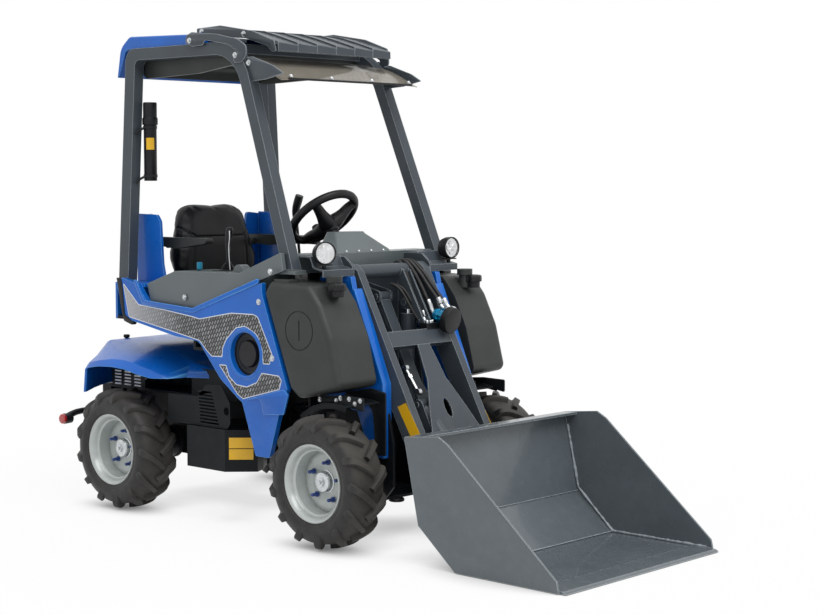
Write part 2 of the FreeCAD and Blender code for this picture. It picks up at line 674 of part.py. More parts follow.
def build_roof():
    """The roof cap, its liner, the slatted guard and the visor."""
    lean = math.radians(Size.frame_lean)
    rails = Size.frame_top * math.cos(lean) + Size.frame_tube_width / 2 * math.sin(lean) - Size.frame_top
    seat, half = rails + Size.fit_gap, Size.roof_half_width
    cap = Piece("roof_cap", FRONT_AXLE, 0, Size.frame_top)
    cap.add("side", -half, half, Outline(
        (-1536, -134), (-1508, 8, 80), (-1440, Size.roof_rise, 40), (-1000, Size.roof_rise - 12, 60),
        (-930, seat), (-1462, seat, 30), (-1522, -134)))
    cap.round_edges(10, lambda point: abs(abs(point.y) - half) < 0.01 and (
        point.z > Size.frame_top + seat + 5
        or point.x < FRONT_AXLE - (1512 if point.z > Size.frame_top - 122 else 1530)))
    liner = Piece("roof_liner", FRONT_AXLE, 0, Size.frame_top)
    hung = -50 - Size.fit_gap
    liner.add("side", -380, 380, Outline(
        (-1412, -142, 40), (-1412, hung), (-735, hung), (-735, -97, 40), (-1000, -130, 300)))
    liner.cut("side", -364, 364, Outline(
        (-1396, -172), (-1396, hung - 14, 30), (-755, hung - 14, 30), (-755, -172)))
    guard = Piece("roof_guard", FRONT_AXLE, 0, Size.frame_top)
    for low, high in both_sides(358, 366):
        guard.add("side", low, high, Outline(
            (-1022, 58), (-1022, 84, 10), (-700, 58, 60), (-480, -14, 20), (-482, -42, 5),
            (-560, -20, 40), (-640, 4), (-905, rails + 6), (-925, 58)))
    for number in range(int(Size.roof_slats)):
        x, z = -1004 + number * 84, 78 - number * 4 - number * number * 2.4
        guard.add("side", -358, 358, Outline(
            (x, z - 12), (x, z), (x + 64, z - 4 - number * 3.6), (x + 64, z - 10 - number * 3.6),
            (x + 8, z - 8), (x + 8, z - 12)))
    for low, high in both_sides(365, 424):
        guard.add("side", low, high, Outline(
            (-900, seat - Size.guard_drop), (-900, rails + 8), (-840, rails + 8),
            (-840, seat - Size.guard_drop)))
    visor = Piece("visor", FRONT_AXLE + post_front(Size.frame_top), 0, Size.frame_top)
    visor.add("side", -405, 405, Outline(
        (120, -108), (122, -102), (192, -130, 200), (260, -169), (258, -175)))
    for low, high in both_sides(386, 397.5):
        visor.add("side", low, high, Outline(
            (-18, -76, 8), (-18, -112, 8), (127, -112), (127, -100), (32, -62, 20)))


def build_tank(name, side):
    """A moulded side tank with its filler cap and a round recess in its outer face."""
    tank = Piece(name, FRONT_AXLE)
    hand = 0 if side < 0 else 1
    inner, outer = Size.tank_inner_half, Size.tank_outer_half
    tank.add("side", *both_sides(inner, outer)[hand], Outline(
        (-383, 1078, 34), (-345, 1130, 34), (-105, 1122, 40), (-34, 1040, 90), (38, 897, 140),
        (93, 690, 34), (-165, 628, 40), (-218, 665, 34)))
    tank.round_edges(Size.tank_rounding, lambda point: abs(abs(point.y) - outer) < 0.01)
    for x, z in ((-110, 720), (-110, 1000)):
        tank.add("side", *both_sides(Size.fairing_outer_half + Size.fit_gap, inner + 2)[hand], Hole(x, z, 25))
    face = both_sides(outer - 4, outer + 1)[hand]
    tank.cut("side", *face, Hole(-152, 924, 86), Hole(-152, 924, 81))
    tank.cut("side", *face, Outline((-156, 880, 3.9), (-156, 968, 3.9), (-148, 968, 3.9), (-148, 880, 3.9)))
    tank.at.y = side * (inner + 105)
    tank.add("plan", 1070, 1128, Hole(-62, 0, 27))
    tank.add("plan", 1128, 1156, Hole(-62, 0, 36))


def build_inner_fenders():
    """The black arches over the front wheels, bolted to the chassis sides."""
    fenders = Piece("inner_fenders", FRONT_AXLE, 0, Size.axle_height)
    outer, wall = 335.0, 6.0
    for low, high in both_sides(Size.fairing_outer_half + Size.fit_gap, 560):
        start, end = turned(outer, 62), turned(outer, 128)
        start_in, end_in = turned(outer - wall, 62), turned(outer - wall, 128)
        arch = Outline()
        arch.edges = [
            Part.Arc(start, turned(outer, 95), end), Part.LineSegment(end, end_in),
            Part.Arc(end_in, turned(outer - wall, 95), start_in), Part.LineSegment(start_in, start)]
        fenders.add("side", low, high, arch)


def build_dash():
    """The dash panel across the cab, with the feet of the front posts."""
    dash = Piece("dash", FRONT_AXLE)
    low_z, half = Size.dash_height, Size.dash_half_width
    dash.add("side", -half, half, Outline(
        (-430, low_z), (-430, low_z + 45, 20), (-400, low_z + 82, 15), (-283, low_z + 82), (-283, low_z)))
    foot = low_z + Size.post_foot_rise
    for low, high in both_sides(half, 504):
        dash.add("side", low, high, Outline((-360, low_z), (-360, foot), (-225, foot), (-225, low_z)))


def wheel_centre():
    """The centre of the steering wheel and its upward column direction, in side view."""
    return Vector(-565, Size.dash_height + 235, 0), turned(1, 90 + Size.steering_wheel_tilt)


def build_steering():
    """The column with its housing, and the wheel on it."""
    column = Piece("steering_column", FRONT_AXLE)
    column.loft("plan",
                Size.dash_height + 82, [Outline((-425, -150), (-425, 150), (-300, 150), (-300, -150))],
                Size.dash_height + 170, [Outline((-440, -70), (-440, 70), (-400, 70), (-400, -70))])
    centre, up = wheel_centre()
    tilt = 90 + Size.steering_wheel_tilt
    foot = centre - up * 190
    column.at = Vector(FRONT_AXLE + foot.x, 0, foot.y)
    column.turn = {"side": tilt}
    column.revolve("side", 0, Outline((0, 0), (0, 28), (95, 22), (95, 0)))
    wheel = Piece("steering_wheel", FRONT_AXLE + centre.x, 0, centre.y, tilt)
    ring, tube = Size.steering_wheel_radius, Size.steering_rim_radius
    circle = Outline()
    circle.edges = [Part.Circle(Vector(0, ring, 0), Vector(0, 0, 1), tube)]
    wheel.revolve("side", 0, circle)
    wheel.revolve("side", 0, Outline(
        (-94.6, 0), (-94.6, 24), (-76, 24), (-70, 30), (-12, 44), (-2, 34), (-2, 0)))
    wheel.add("side", -ring, ring, Outline((-9, -14), (-9, 14), (-1, 14), (-1, -14)))
    wheel.add("side", -14, 14, Outline((-9, 20), (-9, ring), (-1, ring), (-1, 20)))


def build_lamps():
    """The round work lamps on the tower's shoulders."""
    shoulder = Size.boom_pivot_height + Size.shoulder_rise
    lamps = Piece("work_lamps", FRONT_AXLE - 133, 0, shoulder + Size.lamp_rise)
    radius = Size.lamp_radius
    for side in (-1, 1):
        lamps.at.y = side * Size.lamp_side
        lamps.add("front", -20, 30, Hole(0, 0, radius))
        lamps.add("front", -45, -20, Hole(0, 0, radius - 14))
        lamps.add("plan", 8.1 - Size.lamp_rise, 4 - radius, Hole(-15, 0, 9))


def build_document_tube():
    """The document tube strapped to the right rear post."""
    tube = Piece("document_tube", FRONT_AXLE - 1382 + Size.tube_collar_radius + Size.fit_gap, -452, 0)
    tube.add("plan", 1560, 1870, Hole(0, 0, 26))
    tube.add("plan", 1790, 1815, Hole(0, 0, Size.tube_collar_radius))


def build_control_levers():
    """The joystick and the small levers of the consoles."""
    levers = Piece("control_levers", FRONT_AXLE)
    levers.at.y = -370
    levers.add("plan", 1151.9, 1165, Hole(-822, 0, 30))
    levers.add("plan", 1165, 1330, Hole(-822, 0, 12))
    levers.add("plan", 1300, 1350, Hole(-822, 0, 22))
    levers.at.y = -430
    levers.add("plan", 1149.9, 1180, Hole(-955, 0, 12))


# ---------------------------------------------------------------- boom and linkage

def build_eye_lugs(piece, y, lug, eye_x, eye_z):
    """Two lug plates with pin heads on their outer faces, on both sides of a rod's eye."""
    near = Size.cylinder_eye_width / 2 + Size.side_play
    far = near + Size.lug_plate
    for low, high in ((y - far, y - near), (y + near, y + far)):
        piece.add("side", low, high, lug)
    for low, high in ((y - far - 5, y - far), (y + far, y + far + 5)):
        piece.add("side", low, high, Hole(eye_x, eye_z, Size.cylinder_pin_radius + 3))


def build_boom():
    """The boom's two arms with the pivot tube, the crossbar, the lift lugs and the foot pin."""
    boom = Piece("boom", FRONT_AXLE + PIVOT_TOP.x, 0, PIVOT_TOP.y, BOOM_ANGLE)
    outer = Size.boom_outer_half
    inner = outer - Size.boom_arm_width
    half = Size.boom_depth / 2
    length = BOOM_LENGTH
    for low, high in both_sides(inner, outer):
        boom.add("side", low, high, Outline(
            (-26, half - 22, 20), (20, half, 20), (length - 10, half - 2, 30), (length + 38, 22, 30),
            (length + 38, -22, 30), (length - 60, -half, 60), (60, -half, 60), (-34, -20, 20)))
    boom.add("side", -outer, outer, Hole(0, 0, Size.boom_tube_radius))
    boom.add("side", -inner, inner, Outline((318, 8), (318, 46), (390, 46), (390, 8)))
    along, off = Size.lift_lug_along, -Size.lift_lug_back
    lug = Outline((-20, 10), (20, 34), (330, 40), (372, 20), (along + 50, off + 25),
                  (along + 24, off - 20, 22), (along - 24, off - 20, 22))
    build_eye_lugs(boom, Size.lift_side, lug, along, off)
    boom.cut("side", -outer - 1, outer + 1, Hole(0, 0, Size.boom_pin_radius + Size.pin_play))
    boom.add("side", -outer - 29, outer + 29, Hole(length, 0, Size.foot_pin_radius))


def build_coupler():
    """The hose manifold on the crossbar, its hoses from over the boom tube, and the quick coupler."""
    coupler = Piece("hose_coupler", FRONT_AXLE + PIVOT_TOP.x, 0, PIVOT_TOP.y, BOOM_ANGLE)
    top, face = 318 - Size.fit_gap, Size.boom_depth / 2 + Size.fit_gap
    inner = Size.boom_outer_half - Size.boom_arm_width
    coupler.add("side", inner - 65, inner - 3, Outline(
        (top - 50, 24), (top, 24), (top, 66, 6), (top - 50, 66, 6)))
    bend = Size.boom_tube_radius + Size.hose_radius + 2 * Size.fit_gap
    coupler.turn = {}
    for number in range(3):
        y = inner - 54 + number * 20
        end = BOOM_AXIS * (top - 46) + BOOM_FACE * 50
        angle = math.atan2(end.y, end.x) + math.acos(bend / end.Length)
        leave = turned(bend, math.degrees(angle))
        over = turned(bend, 90 + math.degrees(angle) / 2)
        coupler.sweep(y, -bend, Size.hose_radius,
                      Part.Arc(Vector(-bend, 0, 0), over, leave), Part.LineSegment(leave, end))
    coupler.turn = {"side": BOOM_ANGLE}
    y = inner + 15
    coupler.add("side", y - 15, y + 15, Outline((230, face), (300, face), (300, face + 20), (250, face + 46)))
    ahead, fall = Size.boom_pivot_back + 30, -213
    coupler.add("front", ahead, ahead + 54, Hole(y + 10, fall, Size.coupler_radius))
    coupler.add("front", ahead + 54, ahead + 65, Hole(y + 10, fall, Size.coupler_plate_radius))


def build_levelling_link():
    """The tapered plate between the tower and the carrier, parallel to the boom."""
    link = Piece("levelling_link", FRONT_AXLE + LINK_TOP.x, 0, LINK_TOP.y, BOOM_ANGLE)
    near, far, half = -Size.link_half_width, Size.link_flare, Size.link_thickness / 2
    link.add("side", near, far, Outline((0, -half), (0, half), (BOOM_LENGTH, half), (BOOM_LENGTH, -half)))
    drop = -BOOM_AXIS.y
    flare_start, flare_end = -430 * drop, -800 * drop
    link.cut("front", -60, 600, Outline(
        (Size.link_half_width, 40), (far + 1, 40), (far + 1, flare_end), (Size.link_half_width, flare_start)))
    slot = -560 * drop
    link.cut("front", -60, 600, Outline(
        (15, slot - 40, 14), (15, slot + 40, 14), (45, slot + 40, 14), (45, slot - 40, 14)))
    link.add("side", near, Size.link_half_width, Hole(0, 0, 22))
    link.add("side", near, far, Hole(BOOM_LENGTH, 0, 22))
    for at in (0, BOOM_LENGTH):
        link.cut("side", near - 1, far + 1, Hole(at, 0, Size.cylinder_pin_radius + Size.pin_play))


def build_tilt_carrier():
    """The carrier on the boom's foot pin, kept level by the link, with the tilt cylinder's base."""
    carrier = Piece("tilt_carrier", FRONT_AXLE + FOOT.x, 0, FOOT.y)
    half = Size.boom_outer_half - Size.boom_arm_width - 6
    carrier.add("side", -half, half, Hole(0, 0, 27))
    back, drop = -Size.link_back, -Size.link_drop
    near, far = -Size.link_half_width - 2, Size.link_flare + 2
    for low, high in ((near - 10, near), (far, far + 10)):
        carrier.add("side", low, high, Outline(
            (-26, 10), (26, 10), (24 + back, drop - 22, 22), (back - 24, drop - 22, 22)))
    x, z = -Size.tilt_base_back, Size.tilt_base_rise
    reach_in = Size.tilt_base_width / 2 + 1
    for low, high in ((Size.tilt_side - reach_in - 6, Size.tilt_side - reach_in),
                      (Size.tilt_side + reach_in, Size.tilt_side + reach_in + 6)):
        carrier.add("side", low, high, Outline(
            (-22, -16), (20, 10), (x + 26, z + 16, 22), (x - 16, z + 30, 22), (x - 26, z - 14, 22)))
    carrier.cut("side", -half - 1, half + 1, Hole(0, 0, Size.foot_pin_radius + Size.pin_play))
    carrier.add("side", near - 12, far + 12, Hole(back, drop, Size.cylinder_pin_radius))
    carrier.add("side", Size.tilt_side - reach_in - 9, Size.tilt_side + reach_in + 9,
                Hole(x, z, Size.cylinder_pin_radius))


def build_cylinder(name, view, start, end, level, base_width, barrel, rod, pin, rod_start):
    """A hydraulic cylinder between two pins: a barrel with its eye, and a rod that ends in a disc.

    barrel is (radius, length) and rod is its radius. The barrel starts clear of its lug plates on a
    narrower neck, and the rod's disc turns between lug plates.
    """
    span = end - start
    angle = math.degrees(math.atan2(span.y, span.x))
    eye = Size.cylinder_eye_width / 2
    radius, length = barrel
    at = (start.x, level, start.y) if view == "side" else (start.x, start.y, level)
    tube = Piece(f"{name}_barrel", *at, angle, view)
    tube.add(view, -base_width / 2, base_width / 2, Hole(0, 0, pin + Size.eye_wall))
    neck, start_at = min(eye, radius) - 3, pin + Size.barrel_start
    tube.revolve(view, 0, Outline(
        (15, 0), (15, neck), (start_at, neck), (start_at, radius), (length, radius), (length, 0)))
    tube.cut(view, -base_width / 2 - 1, base_width / 2 + 1, Hole(0, 0, pin + Size.pin_play))
    bore = tube.body.newObject("PartDesign::Groove", f"{name}_barrel_bore")
    wall = rod + Size.pin_play
    profile = tube.sketch(view, 0, [Outline((28, 0), (28, wall), (length + 1, wall), (length + 1, 0))])
    bore.Profile = profile
    bore.ReferenceAxis = (profile, ["H_Axis"])
    bore.Angle = 360
    shaft = Piece(f"{name}_rod", *at, angle, view)
    end_at = span.Length - 15
    shaft.revolve(view, 0, Outline((rod_start, 0), (rod_start, rod), (end_at, rod), (end_at, 0)))
    shaft.add(view, -eye, eye, Hole(span.Length, 0, pin + Size.eye_wall))


def build_bucket():
    """The bucket's side plates, rolled sheet and top beam, and the hitch behind it."""
    bucket = Piece("bucket", FRONT_AXLE)
    half, plate = Size.bucket_half_width, Size.bucket_side_plate
    sheet_t, low = Size.bucket_sheet, Size.bucket_clearance
    lip = Size.front_reach
    for low_y, high_y in both_sides(half - plate, half):
        bucket.add("side", low_y, high_y, Outline(
            (447, 524, 6), (632, 543, 12), (682, 517, 25), (1239, 49, 10), (1250, low), (725, low),
            (525, 168)))
    inner = half - plate
    bucket.add("side", -inner, inner, Outline(
        (447, 524), (525, 168), (725, low), (lip, low), (lip - 12, low + sheet_t), (728, low + sheet_t),
        (533, 171), (456, 522)))
    bucket.add("side", -inner, inner, Outline(
        (lip - 120, low + sheet_t - 1), (lip - 120, low + sheet_t + 7), (lip - 18, low + sheet_t + 2),
        (lip - 14, low + sheet_t - 1)))
    bucket.add("side", -inner, inner, Outline((456, 522), (458, 512), (520, 518), (520, 529), (449, 524)))
    hitch = Piece("hitch_frame", FRONT_AXLE)
    x, z = FOOT.x, FOOT.y
    inside, outside = Size.boom_outer_half + 4, Size.boom_outer_half + 20
    for low_y, high_y in both_sides(inside, outside):
        hitch.add("side", low_y, high_y, Outline(
            (x - 34, z - 32, 32), (x - 34, z + 34, 32), (x + 35, z + 80), (445, 470), (508, 195),
            (x + 45, z - 50)))
    hitch.add("side", -outside, outside, Outline(
        (441.5, 481.9), (455.2, 484.9), (519.1, 191.7), (505.4, 188.8)))
    hitch.cut("side", -300, 300, Hole(x, z, Size.foot_pin_radius + Size.pin_play))
    eye_x, eye_z = x + Size.tilt_eye_ahead, z + Size.tilt_eye_rise
    build_eye_lugs(hitch, Size.tilt_side, Outline(
        (eye_x - 22, eye_z - 22, 20), (eye_x - 22, eye_z + 24, 20), (470, 350), (486, 280)), eye_x, eye_z)


# ---------------------------------------------------------------- rear frame

def build_rear_chassis():
    """The rear frame with the pivot tube, the decks under the hood and the drawbar."""
    chassis = Piece("rear_chassis", PIVOT)
    half, front = Size.rear_half_width, -Size.rear_front_gap
    plate = Size.chassis_plate
    low, top, back = Size.rear_floor, Size.rear_top, -Size.rear_length
    for low_y, high_y in both_sides(half - plate, half):
        chassis.add("side", low_y, high_y, Outline(
            (back, low + 60), (back, top), (front, top), (front, low), (back + 150, low)))
    chassis.add("plan", low, low + plate, Outline(
        (back + 150, -half), (front, -half), (front, half), (back + 150, half)))
    chassis.add("front", front - plate, front, Outline((-half, low), (half, low), (half, top), (-half, top)))
    chassis.add("front", back, back + plate, Outline(
        (-half, low + 60), (half, low + 60), (half, top), (-half, top)))
    for low_y, high_y in both_sides(half, 398):
        chassis.add("side", low_y, high_y, Outline(
            (back, top - plate), (back, top), (-260, top), (-260, top - plate)))
    tube_low, tube_high = Size.lug_low + Size.lug_thickness + 1, Size.lug_high - 1
    chassis.add("plan", tube_low, tube_high, Hole(0, 0, Size.pivot_tube_radius))
    chassis.add("plan", tube_low + 10, tube_high - 10, Outline((front, -40), (front, 40), (0, 40), (0, -40)))
    chassis.cut("plan", tube_low - 1, tube_high + 1, Hole(0, 0, Size.pivot_pin_radius + Size.pin_play))
    tow_x = -(Size.wheel_base / 2 + Size.rear_reach)
    chassis.add("plan", 330, 350, Outline((tow_x, -35, 30), (tow_x, 35, 30), (back, 80), (back, -80)))
    chassis.cut("plan", 329, 351, Hole(tow_x + 35, 0, 12.5))
    eye_x, eye_y, z = -Size.steer_eye_back, Size.steer_eye_side, Size.steer_height
    chassis.add("plan", top, top + 8, Outline(
        (eye_x - 60, half), (eye_x - 60, eye_y - 40), (front, eye_y - 40), (front, half)))
    eye_top = z + Size.cylinder_eye_width / 2 + Size.side_play
    chassis.add("plan", eye_top, top + 1, Hole(eye_x, eye_y, 22))
    chassis.cut("front", front - plate - 1, front + 1, Outline(
        (88, 500), (88, top + 1), (190, top + 1), (190, 500)))


def build_engine():
    """The engine and pumps as one block."""
    engine = Piece("engine", PIVOT)
    floor = Size.rear_floor + Size.chassis_plate
    engine.add("side", -195, 195, Outline(
        (-940, floor), (-960, 700, 60), (-430, 700, 80), (-300, 640, 40), (-250, 560), (-230, floor)))


def build_hood():
    """The one-piece hood with its fenders over the rear wheels."""
    hood = Piece("hood", REAR_AXLE)
    middle = 400
    hood.add("side", -middle, middle, Outline(
        (-343, 560), (-343, 781, 30), (100, 784, 200), (330, 715, 60), (480, 690), (480, 560)))
    hood.cut("side", 14 - middle, middle - 14, Outline(
        (-329, 559), (-329, 767, 20), (100, 770, 200), (330, 701, 60), (466, 676), (466, 559)))
    near = Outline(
        (-245, 545), (-240, 655, 60), (-160, 772, 80), (50, 772, 100), (190, 661, 60), (378, 658),
        (378, 645), (200, 648, 60), (60, 700, 100), (-70, 700, 80), (-200, 625, 60), (-215, 545))
    far = Outline(
        (-240, 545), (-228, 622, 50), (-150, 702, 80), (55, 702, 100), (200, 655, 60), (378, 654),
        (378, 644), (200, 645, 60), (50, 690, 100), (-75, 690, 80), (-196, 612, 50), (-212, 545))
    for side in (-1, 1):
        hood.loft("side", side * (middle - 1), [near], side * 610, [far])
        hood.add("side", *sorted((side * 610, side * 640)), far)


def build_louvre_panels():
    """The slotted side panels below the hood."""
    panels = Piece("louvre_panels", PIVOT)
    for low, high in both_sides(500, 516):
        panels.add("side", low, high, Outline(
            (-240, 441), (-240, 580), (-185, 580), (-120, 640), (-20, 640), (40, 560), (40, 470), (15, 441)))
        for index in range(8):
            z = 465 + index * 17
            panels.cut("side", low - 1, high + 1, Outline((-150, z), (-150, z + 8), (-50, z + 8), (-50, z)))
    for low, high in both_sides(398.3, 500):
        panels.add("side", low, high, Outline((-240, 548), (-240, 560), (-222, 560), (-222, 548)))


def build_side_boxes():
    """The black boxes low on each side of the rear frame."""
    boxes = Piece("side_boxes", PIVOT)
    for side in (-1, 1):
        boxes.add("plan", 250, 440, Outline(
            (-240, side * 240), (-240, side * 530), (22, side * 530), (128, side * 425),
            (95, side * 360), (0, side * 252), (-72, side * 240)))


def build_rear_end():
    """The counterweight, the rear grille and the marker lamps."""
    weight = Piece("counterweight", REAR_AXLE)
    weight.add("plan", 380, 555, Outline((-313.8, -380), (-313.8, 380), (-395, 380, 20), (-395, -380, 20)))
    grille = Piece("rear_grille", REAR_AXLE)
    grille.add("front", -357, -343.3, Outline((-330, 565), (-330, 750, 30), (330, 750, 30), (330, 565)))
    for index in range(7):
        z = 585 + index * 20
        grille.cut("front", -358, -342, Outline((-270, z), (-270, z + 9), (270, z + 9), (270, z)))
    markers = Piece("marker_lamps", REAR_AXLE - 372)
    for side in (-1, 1):
        markers.at.y = side * 380.3
        markers.add("side", min(0, side * 235), max(0, side * 235), Hole(4, 430, 10))
        markers.at.y = side * 615
        markers.add("front", -20, 20, Hole(0, 400, 27))


# ---------------------------------------------------------------- the whole machine

for corner, axle_x, side in (("front_right", FRONT_AXLE, -1), ("front_left", FRONT_AXLE, 1),
                             ("rear_right", REAR_AXLE, -1), ("rear_left", REAR_AXLE, 1)):
    build_wheel(corner, axle_x, side)
build_axle("front_wheel_motors", FRONT_AXLE, Size.chassis_half_width)
build_axle("rear_wheel_motors", REAR_AXLE, Size.rear_half_width)
build_front_chassis()
build_boom_tower()
build_mast_fairings()
build_cab_floor()
build_cab_panel("cab_panel_right", -1)
build_cab_panel("cab_panel_left", 1)
build_air_intakes()
build_consoles()
build_rear_shroud()
build_seat()
build_roll_over_frame()
build_roof()
build_tank("tank_right", -1)
build_tank("tank_left", 1)
build_inner_fenders()
build_dash()
build_steering()
build_lamps()
build_document_tube()
build_control_levers()
build_boom()
build_coupler()
build_levelling_link()
build_tilt_carrier()
build_bucket()
axle = Vector(FRONT_AXLE, 0, 0)
for name, view, start, end, level, base_width, barrel_radius, margin, rod, pin, rod_start in (
        ("lift", "side", LIFT_BASE, LIFT_LUG, Size.lift_side, Size.cylinder_eye_width,
         Size.lift_barrel_radius, Size.lift_barrel_margin, Size.lift_rod_radius, Size.cylinder_pin_radius, 38),
        ("tilt", "side", TILT_BASE, TILT_EYE, Size.tilt_side, Size.tilt_base_width,
         Size.tilt_barrel_radius, Size.tilt_barrel_margin, Size.tilt_rod_radius, Size.cylinder_pin_radius, 85),
        ("steer", "plan", STEER_BASE, STEER_EYE, Size.steer_height, Size.cylinder_eye_width,
         Size.steer_barrel_radius, Size.steer_barrel_margin, Size.steer_rod_radius, Size.steer_pin_radius, 130)):
    length = (end - start).Length - margin
    build_cylinder(name, view, axle + start, axle + end, level, base_width, (barrel_radius, length), rod,
                   pin, rod_start)
build_rear_chassis()
build_engine()
build_hood()
build_louvre_panels()
build_side_boxes()
build_rear_end()
doc.recompute()

# ---------------------------------------------------------------- checks and export

for item in doc.Objects:
    if "Invalid" in item.State or "Error" in item.State:
        raise RuntimeError(f"{item.Label} failed: {item.State}")
    if item.TypeId == "PartDesign::Pocket" and item.Shape.Volume > item.BaseFeature.Shape.Volume - 1:
        raise RuntimeError(f"{item.Label} cuts nothing")

os.makedirs("parts", exist_ok=True)
for body in (item for item in doc.Objects if item.TypeId == "PartDesign::Body"):
    if body.Shape.isNull() or not body.Shape.isValid():
        raise RuntimeError(f"{body.Label} is not a valid solid")
    body.Shape.exportStep(f"parts/{body.Label}.step")
    box = body.Shape.BoundBox
    print(f"{body.Label}: {len(body.Shape.Solids)} solids, "
          f"x {box.XMin:.0f}..{box.XMax:.0f} y {box.YMin:.0f}..{box.YMax:.0f} "
          f"z {box.ZMin:.0f}..{box.ZMax:.0f}")
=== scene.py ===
"""Looks of a compact articulated wheel loader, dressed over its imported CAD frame.

Blender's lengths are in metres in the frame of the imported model: X forward, Y left, Z up. The sizes
and places below are in millimetres, with X from the front axle, and at() brings them into that frame.
"""
import logging
import math
from dataclasses import dataclass, field
from enum import Enum
from typing import Callable, Iterable, Sequence

import bmesh
import bpy
import numpy as np
from mathutils import Matrix, Vector
from mathutils.geometry import tessellate_polygon


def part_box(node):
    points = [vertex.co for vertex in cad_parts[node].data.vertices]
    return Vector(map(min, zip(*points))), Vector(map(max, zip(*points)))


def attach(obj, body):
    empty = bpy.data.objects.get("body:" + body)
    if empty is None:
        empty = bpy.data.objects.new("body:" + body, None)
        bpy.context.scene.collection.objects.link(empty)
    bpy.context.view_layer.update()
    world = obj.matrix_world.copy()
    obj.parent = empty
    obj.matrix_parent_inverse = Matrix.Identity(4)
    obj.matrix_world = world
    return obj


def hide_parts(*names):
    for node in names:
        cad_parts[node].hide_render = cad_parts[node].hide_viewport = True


Point = tuple[float, float, float]
Flat = tuple[float, float]
Face = tuple[int, ...]
Piece = bpy.types.Object
Tree = bpy.types.NodeTree
Socket = bpy.types.NodeSocket

LOG = logging.getLogger("loader")
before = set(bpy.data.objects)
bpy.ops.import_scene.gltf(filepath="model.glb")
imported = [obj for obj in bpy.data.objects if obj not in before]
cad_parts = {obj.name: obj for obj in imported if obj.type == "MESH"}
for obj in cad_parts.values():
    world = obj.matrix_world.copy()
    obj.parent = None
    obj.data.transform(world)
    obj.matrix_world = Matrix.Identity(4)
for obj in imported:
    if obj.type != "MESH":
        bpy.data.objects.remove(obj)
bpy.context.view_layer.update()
MM = 0.001
AXLE_X = 260.0
CREASE = 35.0
SIDES = ((-1, "right"), (1, "left"))
WHEELS = ("front_right", "front_left", "rear_right", "rear_left")
FORWARD, LEFT, UP = Vector((1, 0, 0)), Vector((0, 1, 0)), Vector((0, 0, 1))


# ---------------------------------------------------------------- small helpers

def at(x: float, y: float, z: float) -> Vector:
    """Gives the place of a point that is x, y, z mm from the front axle, the middle and the ground."""
    return Vector(((x + AXLE_X) * MM, y * MM, z * MM))


def route(*places: Point) -> list[Vector]:
    """Gives the places of points in mm, as at() does."""
    return [at(*place) for place in places]


def turns(count: int) -> list[float]:
    """Gives the angles of so many equal steps round a circle."""
    return [2 * math.pi * k / count for k in range(count)]


def oval(x: float, y: float, wide: float, high: float, count: int = 24) -> list[Flat]:
    """Gives points round an oval with two half widths about a place."""
    return [(x + wide * math.cos(a), y + high * math.sin(a)) for a in turns(count)]


def linear(colour: str) -> tuple[float, float, float, float]:
    """Turns an sRGB hex colour into a linear one.

    Args:
        colour: Six hex digits after a hash.

    Returns:
        The linear red, green and blue with an alpha of one.
    """
    parts = [int(colour[i:i + 2], 16) / 255 for i in (1, 3, 5)]
    return (*(c / 12.92 if c <= 0.04045 else ((c + 0.055) / 1.055) ** 2.4 for c in parts), 1.0)


def add(tree: Tree, kind: str, settings: dict | None = None,
        links: dict | None = None) -> bpy.types.Node:
    """Adds a node with its settings and its links.

    Args:
        tree: The node tree that gets the node.
        kind: The node's type.
        settings: Properties by name, or input values by name or index.
        links: Output sockets by the input name or index that they feed.

    Returns:
        The new node.
    """
    made = tree.nodes.new(kind)
    for key, value in (settings or {}).items():
        if isinstance(key, str) and key in made.bl_rna.properties:
            setattr(made, key, value)
        else:
            made.inputs[key].default_value = value
    for key, socket in (links or {}).items():
        tree.links.new(socket, made.inputs[key])
    return made


def linked(name: str, data: bpy.types.ID) -> Piece:
    """Makes an object of a mesh, curve, lamp or camera and links it to the scene."""
    made = bpy.data.objects.new(name, data)
    bpy.context.scene.collection.objects.link(made)
    return made


def mesh_object(name: str, verts: Sequence, faces: Sequence, smooth: float | None = CREASE) -> Piece:
    """Makes an object from points and faces.

    Args:
        name: The object's name.
        verts: The points, in metres.
        faces: The faces, as rows of point numbers.
        smooth: The angle in degrees over which an edge stays sharp, or None for flat faces.

    Returns:
        The object, linked to the scene.
    """
    mesh = bpy.data.meshes.new(name)
    mesh.from_pydata([tuple(v) for v in verts], [], faces)
    work = bmesh.new()
    work.from_mesh(mesh)
    bmesh.ops.remove_doubles(work, verts=work.verts, dist=1e-6)
    bmesh.ops.recalc_face_normals(work, faces=work.faces)
    work.to_mesh(mesh)
    work.free()
    soften(mesh, smooth)
    return linked(name, mesh)


def soften(mesh: bpy.types.Mesh, smooth: float | None) -> None:
    """Shades a mesh smooth, with sharp edges over an angle in degrees."""
    mesh.polygons.foreach_set("use_smooth", [smooth is not None] * len(mesh.polygons))
    if smooth is not None:
        mesh.set_sharp_from_angle(angle=math.radians(smooth))


def join(name: str, pieces: Iterable[Piece]) -> Piece:
    """Joins objects of mesh into one object that keeps their materials."""
    verts, faces, slots, smooth = [], [], [], []
    materials: list[bpy.types.Material] = []
    for piece in list(pieces):
        start, part = len(verts), piece.data
        for material in part.materials:
            if material not in materials:
                materials.append(material)
        local = [materials.index(material) for material in part.materials] or [0]
        verts += [tuple(v.co) for v in part.vertices]
        for face in part.polygons:
            faces.append([start + i for i in face.vertices])
            slots.append(local[min(face.material_index, len(local) - 1)])
            smooth.append(face.use_smooth)
        bpy.data.objects.remove(piece)
        bpy.data.meshes.remove(part)
    mesh = bpy.data.meshes.new(name)
    mesh.from_pydata(verts, [], faces)
    for material in materials:
        mesh.materials.append(material)
    mesh.polygons.foreach_set("material_index", slots)
    mesh.polygons.foreach_set("use_smooth", smooth)
    mesh.set_sharp_from_angle(angle=math.radians(CREASE))
    return linked(name, mesh)


